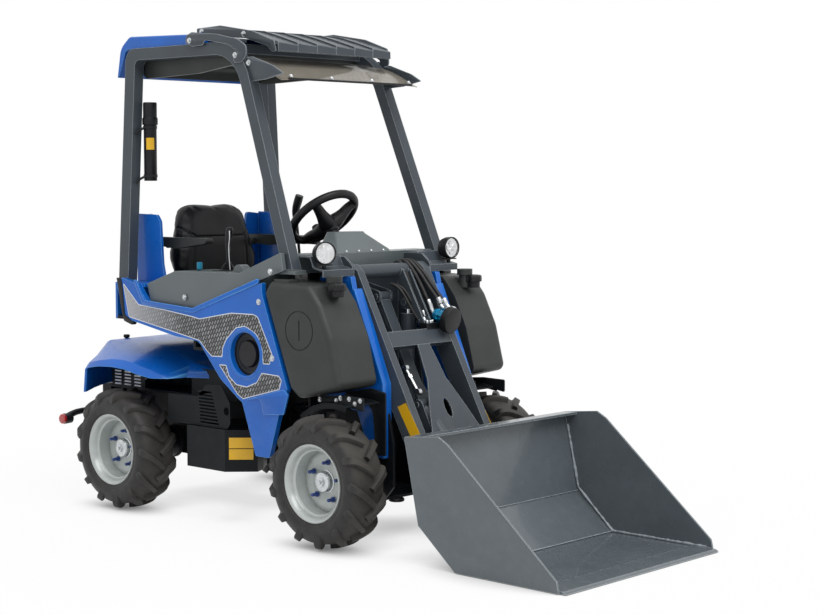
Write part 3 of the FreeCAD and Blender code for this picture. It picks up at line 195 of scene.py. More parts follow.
def bands(rows: int, count: int, closed: bool = False) -> list[Face]:
    """Gives the faces between rings of points.

    Args:
        rows: The number of rings.
        count: The number of points in each ring.
        closed: True where the last ring meets the first one.

    Returns:
        The faces, as rows of point numbers.
    """
    faces = []
    for i in range(rows if closed else rows - 1):
        j = (i + 1) % rows
        for k in range(count):
            m = (k + 1) % count
            faces.append((i * count + k, i * count + m, j * count + m, j * count + k))
    return faces


def cap(row: int, count: int) -> Face:
    """Gives the face that fills a ring of points."""
    return tuple(range(row * count, (row + 1) * count))


def loft(name: str, rings: Sequence[Sequence[Vector]], smooth: float = CREASE) -> Piece:
    """Joins rings of as many points into a closed form with flat ends."""
    rows, count = len(rings), len(rings[0])
    faces = bands(rows, count) + [cap(0, count), cap(rows - 1, count)]
    return mesh_object(name, [point for ring in rings for point in ring], faces, smooth)


def lathe(name: str, outline: Sequence[Flat], centre: Vector, axis: Vector, steps: int = 48,
          smooth: float = CREASE) -> Piece:
    """Turns an outline about an axis into a closed form.

    Args:
        name: The object's name.
        outline: Pairs of distance along the axis and radius, in mm, from one pole to the other,
            or round a ring that ends where it starts.
        centre: The axis's origin, in metres.
        axis: The axis's direction.
        steps: The number of steps round the axis.
        smooth: The angle in degrees over which an edge stays sharp.

    Returns:
        The object.
    """
    turn = axis.to_track_quat("Z", "X").to_matrix()
    closed = outline[0][1] > 0 and outline[0] == outline[-1]
    rows = list(outline[:-1] if closed else outline)
    verts = [centre + turn @ Vector((radius * math.cos(a), radius * math.sin(a), distance)) * MM
             for distance, radius in rows for a in turns(steps)]
    faces = bands(len(rows), steps, closed)
    if not closed:
        faces += [cap(row, steps) for row in (0, len(rows) - 1) if rows[row][1] > 0]
    return mesh_object(name, verts, faces, smooth)


def neighbours(loops: Sequence[Sequence[Flat]]) -> list[tuple[int, int]]:
    """Gives the numbers of neighbouring points round each loop, counted through all loops."""
    pairs, first = [], 0
    for loop in loops:
        pairs += [(first + k, first + (k + 1) % len(loop)) for k in range(len(loop))]
        first += len(loop)
    return pairs


def slab(name: str, loops: Sequence[Sequence[Flat]], caps: Iterable[Sequence[int]], place: Callable,
         smooth: float | None) -> Piece:
    """Closes two faces with walls round their loops.

    Args:
        name: The object's name.
        loops: The corners of the outline and of each hole.
        caps: The triangles that fill one face, as rows of corner numbers.
        place: Gives the point for a corner and for the lower (0) or upper (1) face.
        smooth: The angle in degrees over which an edge stays sharp.

    Returns:
        The object.
    """
    corners = [corner for loop in loops for corner in loop]
    count = len(corners)
    caps = [tuple(triangle) for triangle in caps]
    faces = caps + [tuple(count + i for i in reversed(triangle)) for triangle in caps]
    faces += [(a, b, count + b, count + a) for a, b in neighbours(loops)]
    return mesh_object(name, [place(corner, face) for face in (0, 1) for corner in corners], faces, smooth)


def plate(name: str, outline: Sequence[Flat], low: float, high: float, bevel: float = 0.0,
          level: bool = False) -> Piece:
    """Makes a flat plate from an outline.

    Args:
        name: The object's name.
        outline: Corners in mm: (x, z), or (x, y) for a level plate.
        low: The place of one face across the plate, in mm.
        high: The place of its other face.
        bevel: The radius of its rounded edges, in mm.
        level: True for a plate that lies flat, False for one that stands along the machine.

    Returns:
        The object.
    """
    def place(corner: Flat, face: int) -> Vector:
        """Gives a corner's place on the low (0) or high (1) face."""
        (a, b), across = corner, (low, high)[face]
        return at(a, b, across) if level else at(a, across, b)

    caps = tessellate_polygon([[Vector((a, b, 0)) for a, b in outline]])
    made = slab(name, [outline], caps, place, 30)
    if bevel:
        round_off(made, bevel)
    return made


def pierced(name: str, outline: Sequence[Flat], holes: Sequence[Sequence[Flat]], place: Callable,
            smooth: float | None = 25) -> Piece:
    """Makes a plate with holes.

    Args:
        name: The object's name.
        outline: Its corners.
        holes: Each hole's corners.
        place: Gives the point for a corner and for the lower (0) or upper (1) face.
        smooth: The angle in degrees over which an edge stays sharp.

    Returns:
        The object.
    """
    loops = [outline, *holes]
    work = bmesh.new()
    made = [work.verts.new((*corner, 0)) for loop in loops for corner in loop]
    for a, b in neighbours(loops):
        work.edges.new((made[a], made[b]))
    work.verts.index_update()
    bmesh.ops.triangle_fill(work, use_beauty=True, use_dissolve=False, edges=work.edges[:], normal=UP)
    caps = [tuple(v.index for v in face.verts) for face in work.faces]
    work.free()
    return slab(name, loops, caps, place, smooth)


def pipe(name: str, points: Sequence[Vector], radius: float, sizes: Sequence[float] = (),
         closed: bool = False) -> Piece:
    """Makes a smooth round pipe along points.

    Args:
        name: The object's name.
        points: The places that it follows, in metres.
        radius: Its radius in mm.
        sizes: A share of the radius at each point.
        closed: True for a ring.

    Returns:
        The object, as a mesh.
    """
    curve = bpy.data.curves.new(name, "CURVE")
    curve.dimensions, curve.bevel_depth, curve.bevel_resolution = "3D", radius * MM, 4
    curve.resolution_u, curve.use_fill_caps = 8, True
    spline = curve.splines.new("NURBS")
    spline.points.add(len(points) - 1)
    for number, place in enumerate(points):
        spline.points[number].co = (*place, 1)
        spline.points[number].radius = sizes[number] if sizes else 1
    spline.order_u = 3
    spline.use_endpoint_u, spline.use_cyclic_u = not closed, closed
    raw = linked(name, curve)
    mesh = bpy.data.meshes.new_from_object(raw.evaluated_get(bpy.context.evaluated_depsgraph_get()))
    bpy.data.objects.remove(raw)
    bpy.data.curves.remove(curve)
    soften(mesh, 40)
    return linked(name, mesh)


def round_off(piece: Piece, radius: float, segments: int = 2) -> None:
    """Rounds the sharp edges of a piece and bakes the result."""
    edge = piece.modifiers.new("edge", "BEVEL")
    edge.width, edge.segments, edge.limit_method = radius * MM, segments, "ANGLE"
    bake(piece)


def bake(piece: Piece) -> None:
    """Replaces a piece's mesh with what its modifiers make of it, and removes them."""
    depsgraph = bpy.context.evaluated_depsgraph_get()
    old = piece.data
    piece.data = bpy.data.meshes.new_from_object(piece.evaluated_get(depsgraph))
    piece.modifiers.clear()
    bpy.data.meshes.remove(old)
    soften(piece.data, CREASE)


def rounded(corners: Sequence[Point], steps: int = 5) -> list[Flat]:
    """Rounds the corners of an outline.

    Args:
        corners: Places with the radius of each corner, in mm.
        steps: The number of steps round a corner.

    Returns:
        The outline's points.
    """
    points: list[Flat] = []
    for i, (x, y, radius) in enumerate(corners):
        if radius <= 0:
            points.append((x, y))
            continue
        here = Vector((x, y))
        before = Vector(corners[i - 1][:2]) - here
        after = Vector(corners[(i + 1) % len(corners)][:2]) - here
        reach = min(radius / math.tan(before.angle(after) / 2), before.length * 0.48, after.length * 0.48)
        first, last = here + before.normalized() * reach, here + after.normalized() * reach
        for k in range(steps + 1):
            t = k / steps
            point = first * (1 - t) ** 2 + here * (2 * t * (1 - t)) + last * t ** 2
            points.append((point.x, point.y))
    return points


def oblong(x0: float, y0: float, x1: float, y1: float, radius: float = 0.0) -> list[Flat]:
    """Gives the outline of a rectangle with rounded corners, in mm."""
    return rounded(((x0, y0, radius), (x1, y0, radius), (x1, y1, radius), (x0, y1, radius)))


def inset(outline: Sequence[Flat], distance: float) -> list[Flat]:
    """Moves the sides of an outline inwards by a distance in mm, or outwards when it is negative."""
    count = len(outline)
    area = sum(outline[i - 1][0] * outline[i][1] - outline[i][0] * outline[i - 1][1] for i in range(count))
    side = 1 if area > 0 else -1
    result = []
    for i in range(count):
        here = Vector(outline[i])
        a = (here - Vector(outline[i - 1])).normalized()
        b = (Vector(outline[(i + 1) % count]) - here).normalized()
        normal = Vector((-(a.y + b.y), a.x + b.x)) * side
        if normal.length < 1e-6:
            normal = Vector((-a.y, a.x)) * side
        normal.normalize()
        share = max(0.35, normal.dot(Vector((-a.y, a.x)) * side))
        moved = here + normal * (distance / share)
        result.append((moved.x, moved.y))
    return result


# ---------------------------------------------------------------- finishes

class Ground:
    """The start of a finish: a shader, the object's own coordinates and the noise that breaks it up."""

    def __init__(self, name: str) -> None:
        """Makes the material with its shader and output."""
        self.material = bpy.data.materials.new(name)
        self.material.use_nodes = True
        self.tree = self.material.node_tree
        self.tree.nodes.clear()
        self.shader = add(self.tree, "ShaderNodeBsdfPrincipled")
        add(self.tree, "ShaderNodeOutputMaterial", {}, {"Surface": self.shader.outputs[0]})
        self.place = add(self.tree, "ShaderNodeTexCoord").outputs["Object"]

    def noise(self, size: float, detail: float = 3, stretch: Point = (1, 1, 1)) -> Socket:
        """Gives a noise whose patches are about a size in mm, stretched along the axes."""
        vector = self.place
        if stretch != (1, 1, 1):
            vector = add(self.tree, "ShaderNodeMapping", {"Scale": [1 / s for s in stretch]},
                         {"Vector": self.place}).outputs[0]
        return add(self.tree, "ShaderNodeTexNoise", {"Scale": 1000 / size, "Detail": detail},
                   {"Vector": vector}).outputs["Fac"]

    def patches(self, size: float, detail: float, low: float, high: float, start: float = 0.0,
                end: float = 1.0) -> Socket:
        """Gives a value from start to end in patches of about a size in mm, cut off at two levels."""
        return self.share(self.noise(size, detail), low, high, start, end)

    def share(self, source: Socket, low: float, high: float, start: float = 0.0,
              end: float = 1.0) -> Socket:
        """Maps a value from between low and high to between start and end."""
        return add(self.tree, "ShaderNodeMapRange",
                   {"From Min": low, "From Max": high, "To Min": start, "To Max": end},
                   {"Value": source}).outputs[0]

    def blend(self, share: Socket, first: str | Socket,
              second: str | Socket) -> Socket:
        """Mixes two colours, each a hex value or a socket, by a share."""
        settings = {"data_type": "RGBA"}
        links = {0: share}
        for index, colour in ((6, first), (7, second)):
            if isinstance(colour, str):
                settings[index] = linear(colour)
            else:
                links[index] = colour
        return add(self.tree, "ShaderNodeMix", settings, links).outputs[2]

    def times(self, first: Socket, second: Socket) -> Socket:
        """Multiplies two values."""
        return add(self.tree, "ShaderNodeMath", {"operation": "MULTIPLY"}, {0: first, 1: second}).outputs[0]

    def height(self, low: float, high: float) -> Socket:
        """Gives the share of the height between two levels in mm, one below the low level."""
        z = add(self.tree, "ShaderNodeSeparateXYZ", {}, {0: self.place}).outputs[2]
        return self.share(z, high * MM, low * MM)

    def feed(self, name: str, value: object) -> None:
        """Sets or links an input of the shader."""
        if isinstance(value, Socket):
            self.tree.links.new(value, self.shader.inputs[name])
        else:
            self.shader.inputs[name].default_value = value

    def edges(self, radius: float) -> Socket:
        """Gives the share by which a place lies on an edge, within a radius in mm."""
        soft = add(self.tree, "ShaderNodeBevel", {"samples": 6, "Radius": radius * MM}).outputs[0]
        flat = add(self.tree, "ShaderNodeNewGeometry").outputs["True Normal"]
        same = add(self.tree, "ShaderNodeVectorMath", {"operation": "DOT_PRODUCT"}, {0: soft, 1: flat})
        return self.share(same.outputs["Value"], 0.985, 0.86)

    def relief(self, depth: float, height: Socket, edge: float = 0.0) -> None:
        """Gives the surface a relief of a depth in mm, over edges softened by a radius in mm."""
        links = {"Height": height}
        if edge:
            soft = add(self.tree, "ShaderNodeBevel", {"samples": 4, "Radius": edge * MM})
            links["Normal"] = soft.outputs[0]
        bump = add(self.tree, "ShaderNodeBump", {"Strength": 1.0, "Distance": depth * MM}, links)
        self.tree.links.new(bump.outputs[0], self.shader.inputs["Normal"])


@dataclass(frozen=True)
class Enamel:
    """Sprayed stoving enamel on sheet metal: an even coat with fine orange peel and a soft edge."""

    name: str
    colour: str
    shade: str
    roughness: float
    coat: float = 0.0
    peel: float = 0.05
    edge: float = 3.0
    dust: str = "#8F8A80"
    dusting: float = 0.12
    metallic: float = 0.0
    edge_wear_and_highlight: str = ""
    specular: float = 0.5

    def material(self) -> bpy.types.Material:
        """Builds the enamel: colour that varies a little, and light dust low down."""
        g = Ground(self.name)
        tone = g.blend(g.patches(260, 4, 0.3, 0.7), self.shade, self.colour)
        dirt = g.times(g.patches(45, 6, 0.45, 0.75, 0, self.dusting), g.height(250, 900))
        coat = g.blend(dirt, tone, self.dust)
        # painted highlight: edges found by the bevel mask turn lighter, as where light catches them, with a
        # little edge wear
        if self.edge_wear_and_highlight:
            coat = g.blend(g.edges(3.5), coat, self.edge_wear_and_highlight)
        g.feed("Base Color", coat)
        g.feed("Roughness", g.patches(60, 4, 0.3, 0.7, self.roughness - 0.04, self.roughness + 0.06))
        g.feed("Metallic", self.metallic)
        g.feed("Specular IOR Level", self.specular)
        g.feed("Coat Weight", self.coat)
        g.feed("Coat Roughness", 0.06)
        g.relief(self.peel, g.noise(5, 2), self.edge)
        return g.material


@dataclass(frozen=True)
class Moulded:
    """Moulded polypropylene: matt, with a fine leather-like grain left by the mould."""

    name: str
    colour: str
    shade: str
    roughness: float = 0.55
    grain: float = 2.2
    depth: float = 0.12
    edge: float = 3.0

    def material(self) -> bpy.types.Material:
        """Builds the plastic: the grain breaks the highlight, and worn patches shine a little more."""
        g = Ground(self.name)
        g.feed("Base Color", g.blend(g.patches(140, 4, 0.35, 0.7), self.shade, self.colour))
        g.feed("Roughness", g.patches(90, 4, 0.3, 0.7, self.roughness - 0.08, self.roughness + 0.08))
        g.feed("Specular IOR Level", 0.3)
        cells = add(g.tree, "ShaderNodeTexVoronoi", {"Scale": 1000 / self.grain}, {"Vector": g.place})
        g.relief(self.depth, cells.outputs["Distance"], self.edge)
        return g.material


@dataclass(frozen=True)
class Rubber:
    """Vulcanised tyre rubber: dull black-brown, with dry dust on the lugs and in the grooves."""

    name: str
    colour: str
    dust: str
    dusting: float

    def material(self) -> bpy.types.Material:
        """Builds the rubber: two noises lay the dust, and fine pits keep it dull."""
        g = Ground(self.name)
        worn = g.blend(g.patches(30, 5, 0.35, 0.7), self.colour, "#2C2B2A")
        normal = add(g.tree, "ShaderNodeNewGeometry").outputs["Normal"]
        across = add(g.tree, "ShaderNodeSeparateXYZ", {}, {0: normal}).outputs[1]
        across = add(g.tree, "ShaderNodeMath", {"operation": "ABSOLUTE"}, {0: across}).outputs[0]
        tread = g.share(across, 0.85, 0.35, 0.06, 1)
        dirt = g.times(g.patches(160, 3, 0.3, 0.75, 0.3 * self.dusting, self.dusting), tread)
        g.feed("Base Color", g.blend(dirt, worn, self.dust))
        g.feed("Roughness", g.share(dirt, 0, 0.6, 0.46, 0.8))
        g.feed("Specular IOR Level", 0.4)
        g.relief(0.25, g.noise(6, 3))
        return g.material


@dataclass(frozen=True)
class Metal:
    """A bare or plated metal: it mirrors the room through fine scratches."""

    name: str
    colour: str
    roughness: float
    scratch: Point = (1, 1, 1)
    depth: float = 0.01

    def material(self) -> bpy.types.Material:
        """Builds the metal: the colour dulls in patches and the scratches run along one axis."""
        g = Ground(self.name)
        g.feed("Base Color", g.blend(g.patches(25, 4, 0.35, 0.75, 0, 0.35), self.colour, "#7E8080"))
        g.feed("Metallic", 1.0)
        g.feed("Roughness", g.patches(12, 4, 0.3, 0.7, self.roughness * 0.8, self.roughness * 1.3))
        g.relief(self.depth, g.noise(1.5, 2, self.scratch))
        return g.material


@dataclass(frozen=True)
class Glazing:
    """Clear or tinted polycarbonate sheet: it lets light through and mirrors the sky a little."""

    name: str
    colour: str
    roughness: float
    alpha: float

    def material(self) -> bpy.types.Material:
        """Builds the sheet: a tint with faint smears."""
        g = Ground(self.name)
        g.feed("Base Color", g.blend(g.patches(80, 3, 0.3, 0.7), self.colour, "#9A9488"))
        g.feed("Roughness", g.patches(30, 3, 0.3, 0.7, self.roughness, self.roughness + 0.1))
        g.feed("Alpha", self.alpha)
        g.feed("IOR", 1.58)
        g.relief(0.03, g.noise(90, 2))
        return g.material


@dataclass(frozen=True)
class CarbonPrint:
    """Printed vinyl film with a carbon twill: light and dark tows, 14 mm here so that they show."""

    name: str
    dark: str = "#0E0F10"
    light: str = "#A2A4A8"
    pitch: float = 14.0

    def material(self) -> bpy.types.Material:
        """Builds the print: slanting tows that fade to pale grey at the rear end."""
        g = Ground(self.name)
        turned = add(g.tree, "ShaderNodeMapping", {"Rotation": (math.radians(90), 0, 0)},
                     {"Vector": g.place}).outputs[0]
        slanted = add(g.tree, "ShaderNodeMapping", {"Rotation": (0, 0, math.radians(58))},
                      {"Vector": turned}).outputs[0]
        tows = add(g.tree, "ShaderNodeTexBrick", {
            "offset": 0.5, "Color1": linear(self.light), "Color2": linear("#54565A"),
            "Mortar": linear(self.dark), "Scale": 1.0, "Mortar Size": self.pitch * 0.3 * MM,
            "Brick Width": self.pitch * 1.9 * MM, "Row Height": self.pitch * MM, "Mortar Smooth": 0.3},
            {"Vector": slanted}).outputs["Color"]
        x = add(g.tree, "ShaderNodeSeparateXYZ", {}, {0: g.place}).outputs[0]
        g.feed("Base Color", g.blend(g.share(x, -0.65, -1.05, 0, 0.75), tows, "#B9BBC2"))
        g.feed("Roughness", g.patches(40, 3, 0.3, 0.7, 0.28, 0.4))
        g.feed("Coat Weight", 0.3)
        g.relief(0.05, g.noise(12, 2))
        return g.material


class Stock(Enum):
    """The finishes on the machine, by what they are."""

    # the lighter edge colours below are painted highlights along edges, with a little edge wear
    BLUE = Enamel("gloss_enamel_blue", "#0568CC", "#045CBA", 0.3, 0.2, 0.03, 3.0, "#9DB4D6", 0.05,
                  edge_wear_and_highlight="#6DBBFA", specular=0.35)
    GREY = Enamel("satin_enamel_grey", "#464E55", "#40474E", 0.36, 0.05, 0.04, 3.0, edge_wear_and_highlight="#B4BDC3",
                  specular=0.3)
    CONSOLE = Enamel("satin_enamel_console", "#626B6D", "#5A6365", 0.4, 0.2, 0.05, 3.0, edge_wear_and_highlight="#9AA3A8")
    BUCKET = Enamel("satin_enamel_bucket", "#61696E", "#596166", 0.24, 0.25, 0.03, 3.0, "#7F8890", 0.12,
                    edge_wear_and_highlight="#C4CCD2", specular=0.45)
    BLACK = Enamel("satin_enamel_black", "#171A1D", "#131619", 0.42, 0.0, 0.04, 3.0, "#4A4844", 0.08,
                   edge_wear_and_highlight="#3A4046", specular=0.14)
    SILVER = Enamel("silver_enamel_rim", "#C2C8C6", "#B2B9B6", 0.32, 0.2, 0.04, 2.0, "#8A867D", 0.15, 0.2)
    PLASTIC = Moulded("moulded_polypropylene", "#393C3B", "#323534", 0.44)
    TRIM = Moulded("moulded_trim_black", "#17191B", "#111214", 0.42)
    VINYL = Moulded("seat_vinyl", "#17191C", "#121416", 0.42, 1.6, 0.1, 0.0)
    TYRE = Rubber("tyre_rubber", "#1B1C1D", "#57524B", 0.55)
    HOSE = Rubber("hose_rubber", "#121315", "#3A3A3A", 0.2)
    ZINC = Metal("zinc_plated_steel", "#D2D5D7", 0.28)
    CHROME = Metal("hard_chrome", "#DDE0E2", 0.1, (1, 1, 1), 0.004)
    IRON = Metal("cast_iron", "#2C2E30", 0.6, (1, 1, 1), 0.2)
    TEAL = Metal("anodised_aluminium_teal", "#0E9CD0", 0.3)
    TEAL_KNOB = Moulded("moulded_knob_teal", "#1C86A8", "#17789A", 0.35)
    STUD = Enamel("wheel_bolt_blue", "#16408F", "#12367C", 0.3, 0.3)
    VISOR = Glazing("smoked_polycarbonate", "#A39C90", 0.12, 0.62)
    LENS = Glazing("lamp_lens_clear", "#FFFFFF", 0.03, 0.1)
    MIRROR = Metal("vacuum_metallised_reflector", "#F4F6F8", 0.12, (1, 1, 1), 0.0)
    RED = Enamel("red_lens", "#C01616", "#980F0F", 0.15, 0.8)
    CARBON = CarbonPrint("carbon_print_film")
    WHITE = Enamel("white_film", "#E9ECF2", "#DDE2EA", 0.35, 0.2, 0.02, 0.0)
    YELLOW = Enamel("yellow_film", "#F2BC12", "#E8B010", 0.38, 0.2, 0.02, 0.0)
    WELD = Enamel("weld_bead", "#A9B1B7", "#8E979E", 0.3, 0.2, 0.2, 0.0)


MADE: dict[Stock, bpy.types.Material] = {}


def finish(stock: Stock) -> bpy.types.Material:
    """Gives the material of a finish, built once."""
    if stock not in MADE:
        MADE[stock] = stock.value.material()
    return MADE[stock]


def painted(piece: Piece, stock: Stock) -> Piece:
    """Gives a piece one finish."""
    piece.data.materials.clear()
    piece.data.materials.append(finish(stock))
    return piece


def coat(pieces: Iterable[Piece], stock: Stock) -> list[Piece]:
    """Gives several pieces one finish."""
    return [painted(piece, stock) for piece in pieces]


def seat_on(piece: Piece, body: str, stock: Stock | None = None, slot: str | None = None) -> Piece:
    """Gives a piece its finish and lets it ride on a body."""
    if stock is not None:
        painted(piece, stock)
    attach(piece, body)
    LOG.info("piece %s rides on %s", piece.name, body)
    return piece


def stand_in(name: str, parts: Iterable[Piece], node: str, body: str, slot: str) -> Piece:
    """Joins painted parts into one piece that takes the place of a CAD node."""
    whole = join(name, parts)
    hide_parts(node)
    return seat_on(whole, body, slot=slot)


# ---------------------------------------------------------------- what repeats

class Growth:
    """A Geometry Nodes tree with named inputs that sets a form out and paints it."""

    def __init__(self, name: str, sizes: dict[str, str]) -> None:
        """Makes the tree with an input of a type for each size, one for geometry and one for a finish."""
        self.tree = bpy.data.node_groups.new(name, "GeometryNodeTree")
        for label, kind in {"Geometry": "Geometry", **sizes, "Finish": "Material"}.items():
            self.tree.interface.new_socket(label, in_out="INPUT", socket_type="NodeSocket" + kind)
        self.tree.interface.new_socket("Geometry", in_out="OUTPUT", socket_type="NodeSocketGeometry")
        self.given = add(self.tree, "NodeGroupInput").outputs

    def set_out(self, links: dict[str, Socket]) -> Tree:
        """Ends the tree: copies of a form on points, made real and given the finish.

        Args:
            links: The points, the form and how its copies turn, by the input that takes them.

        Returns:
            The tree.
        """
        copies = add(self.tree, "GeometryNodeInstanceOnPoints", {}, links)
        real = add(self.tree, "GeometryNodeRealizeInstances", {}, {0: copies.outputs[0]})
        whole = add(self.tree, "GeometryNodeSetMaterial", {},
                    {"Geometry": real.outputs[0], "Material": self.given["Finish"]})
        add(self.tree, "NodeGroupOutput", {}, {0: whole.outputs[0]})
        return self.tree


def grow(piece: Piece, tree: Tree, values: dict[str, object]) -> None:
    """Runs a Geometry Nodes tree on a piece and bakes what it makes.

    Args:
        piece: The piece, which becomes the baked mesh.
        tree: The node tree.
        values: The tree's inputs by name.
    """
    nodes = piece.modifiers.new("nodes", "NODES")
    nodes.node_group = tree
    for item in tree.interface.items_tree:
        if item.item_type == "SOCKET" and item.in_out == "INPUT" and item.name in values:
            nodes[item.identifier] = values[item.name]
    bake(piece)


class Head(Enum):
    """The kinds of fastener head.

    Each is rings of a number of sides, a low and a high end as shares of the height, and a base and
    a top radius as shares of the radius.
    """

    HEX = ((20, 0, 0.22, 1.55, 1.5), (6, 0.22, 0.95, 1, 1), (12, 0.95, 1.05, 0.86, 0.7))
    BUTTON = ((20, 0, 0.2, 1.4, 1.35), (16, 0.2, 0.6, 1, 0.9), (16, 0.6, 0.9, 0.9, 0.55))
    NUT = ((20, 0, 0.12, 1.3, 1.25), (6, 0.12, 0.7, 1, 1), (10, 0.7, 1.25, 0.5, 0.44))


@dataclass
class Fasteners:
    """Screws of one size on one body, set out by Geometry Nodes."""

    name: str
    body: str
    radius: float
    head: Head
    stock: Stock = Stock.ZINC
    height: float = 0.0
    places: list[tuple[Vector, Vector]] = field(default_factory=list)

    def put(self, x: float, y: float, z: float, facing: Point = (0, 1, 0)) -> "Fasteners":
        """Adds a screw at a place in mm from the front axle, with its head facing a direction."""
        self.places.append((at(x, y, z), Vector(facing).normalized()))
        return self

    def both(self, x: float, y: float, z: float, facing: Point = (0, 1, 0)) -> "Fasteners":
        """Adds a screw and its mirror image."""
        self.put(x, y, z, facing)
        return self.put(x, -y, z, (facing[0], -facing[1], facing[2]))

    def tree(self) -> Tree:
        """Builds the node tree: a washer, a head and its crown on each point.

        Returns:
            The tree, with sizes as named inputs.
        """
        growth = Growth("fasteners_" + self.head.name.lower(), {"Radius": "Float", "Height": "Float"})
        tree, radius, height = growth.tree, growth.given["Radius"], growth.given["Height"]

        def scaled(source: Socket, by: float) -> Socket:
            """Gives a share of a size."""
            return add(tree, "ShaderNodeMath", {"operation": "MULTIPLY", 1: by}, {0: source}).outputs[0]

        whole = add(tree, "GeometryNodeJoinGeometry")
        for sides, low, high, base, top in self.head.value:
            cone = add(tree, "GeometryNodeMeshCone", {"Vertices": sides}, {
                "Radius Bottom": scaled(radius, base), "Radius Top": scaled(radius, top),
                "Depth": scaled(height, high - low)})
            lift = add(tree, "ShaderNodeCombineXYZ", {}, {2: scaled(height, low)})
            ring = add(tree, "GeometryNodeTransform", {}, {
                "Geometry": cone.outputs[0], "Translation": lift.outputs[0]})
            tree.links.new(ring.outputs[0], whole.inputs[0])
        facing = add(tree, "GeometryNodeInputNamedAttribute", {"data_type": "FLOAT_VECTOR", "Name": "facing"})
        turn = add(tree, "FunctionNodeAlignRotationToVector", {"axis": "Z"}, {"Vector": facing.outputs[0]})
        return growth.set_out({"Points": growth.given["Geometry"], "Instance": whole.outputs[0],
                               "Rotation": turn.outputs[0]})

    def build(self) -> Piece:
        """Sets the screws out and lets them ride on their body."""
        mesh = bpy.data.meshes.new(self.name)
        mesh.from_pydata([tuple(place) for place, _ in self.places], [], [])
        facing = mesh.attributes.new("facing", "FLOAT_VECTOR", "POINT")
        facing.data.foreach_set("vector", [c for _, way in self.places for c in way])
        made = linked(self.name, mesh)
        grow(made, self.tree(), {"Radius": self.radius * MM, "Height": (self.height or self.radius) * MM,
                                 "Finish": finish(self.stock)})
        return seat_on(made, self.body)


# ---------------------------------------------------------------- sub-assemblies

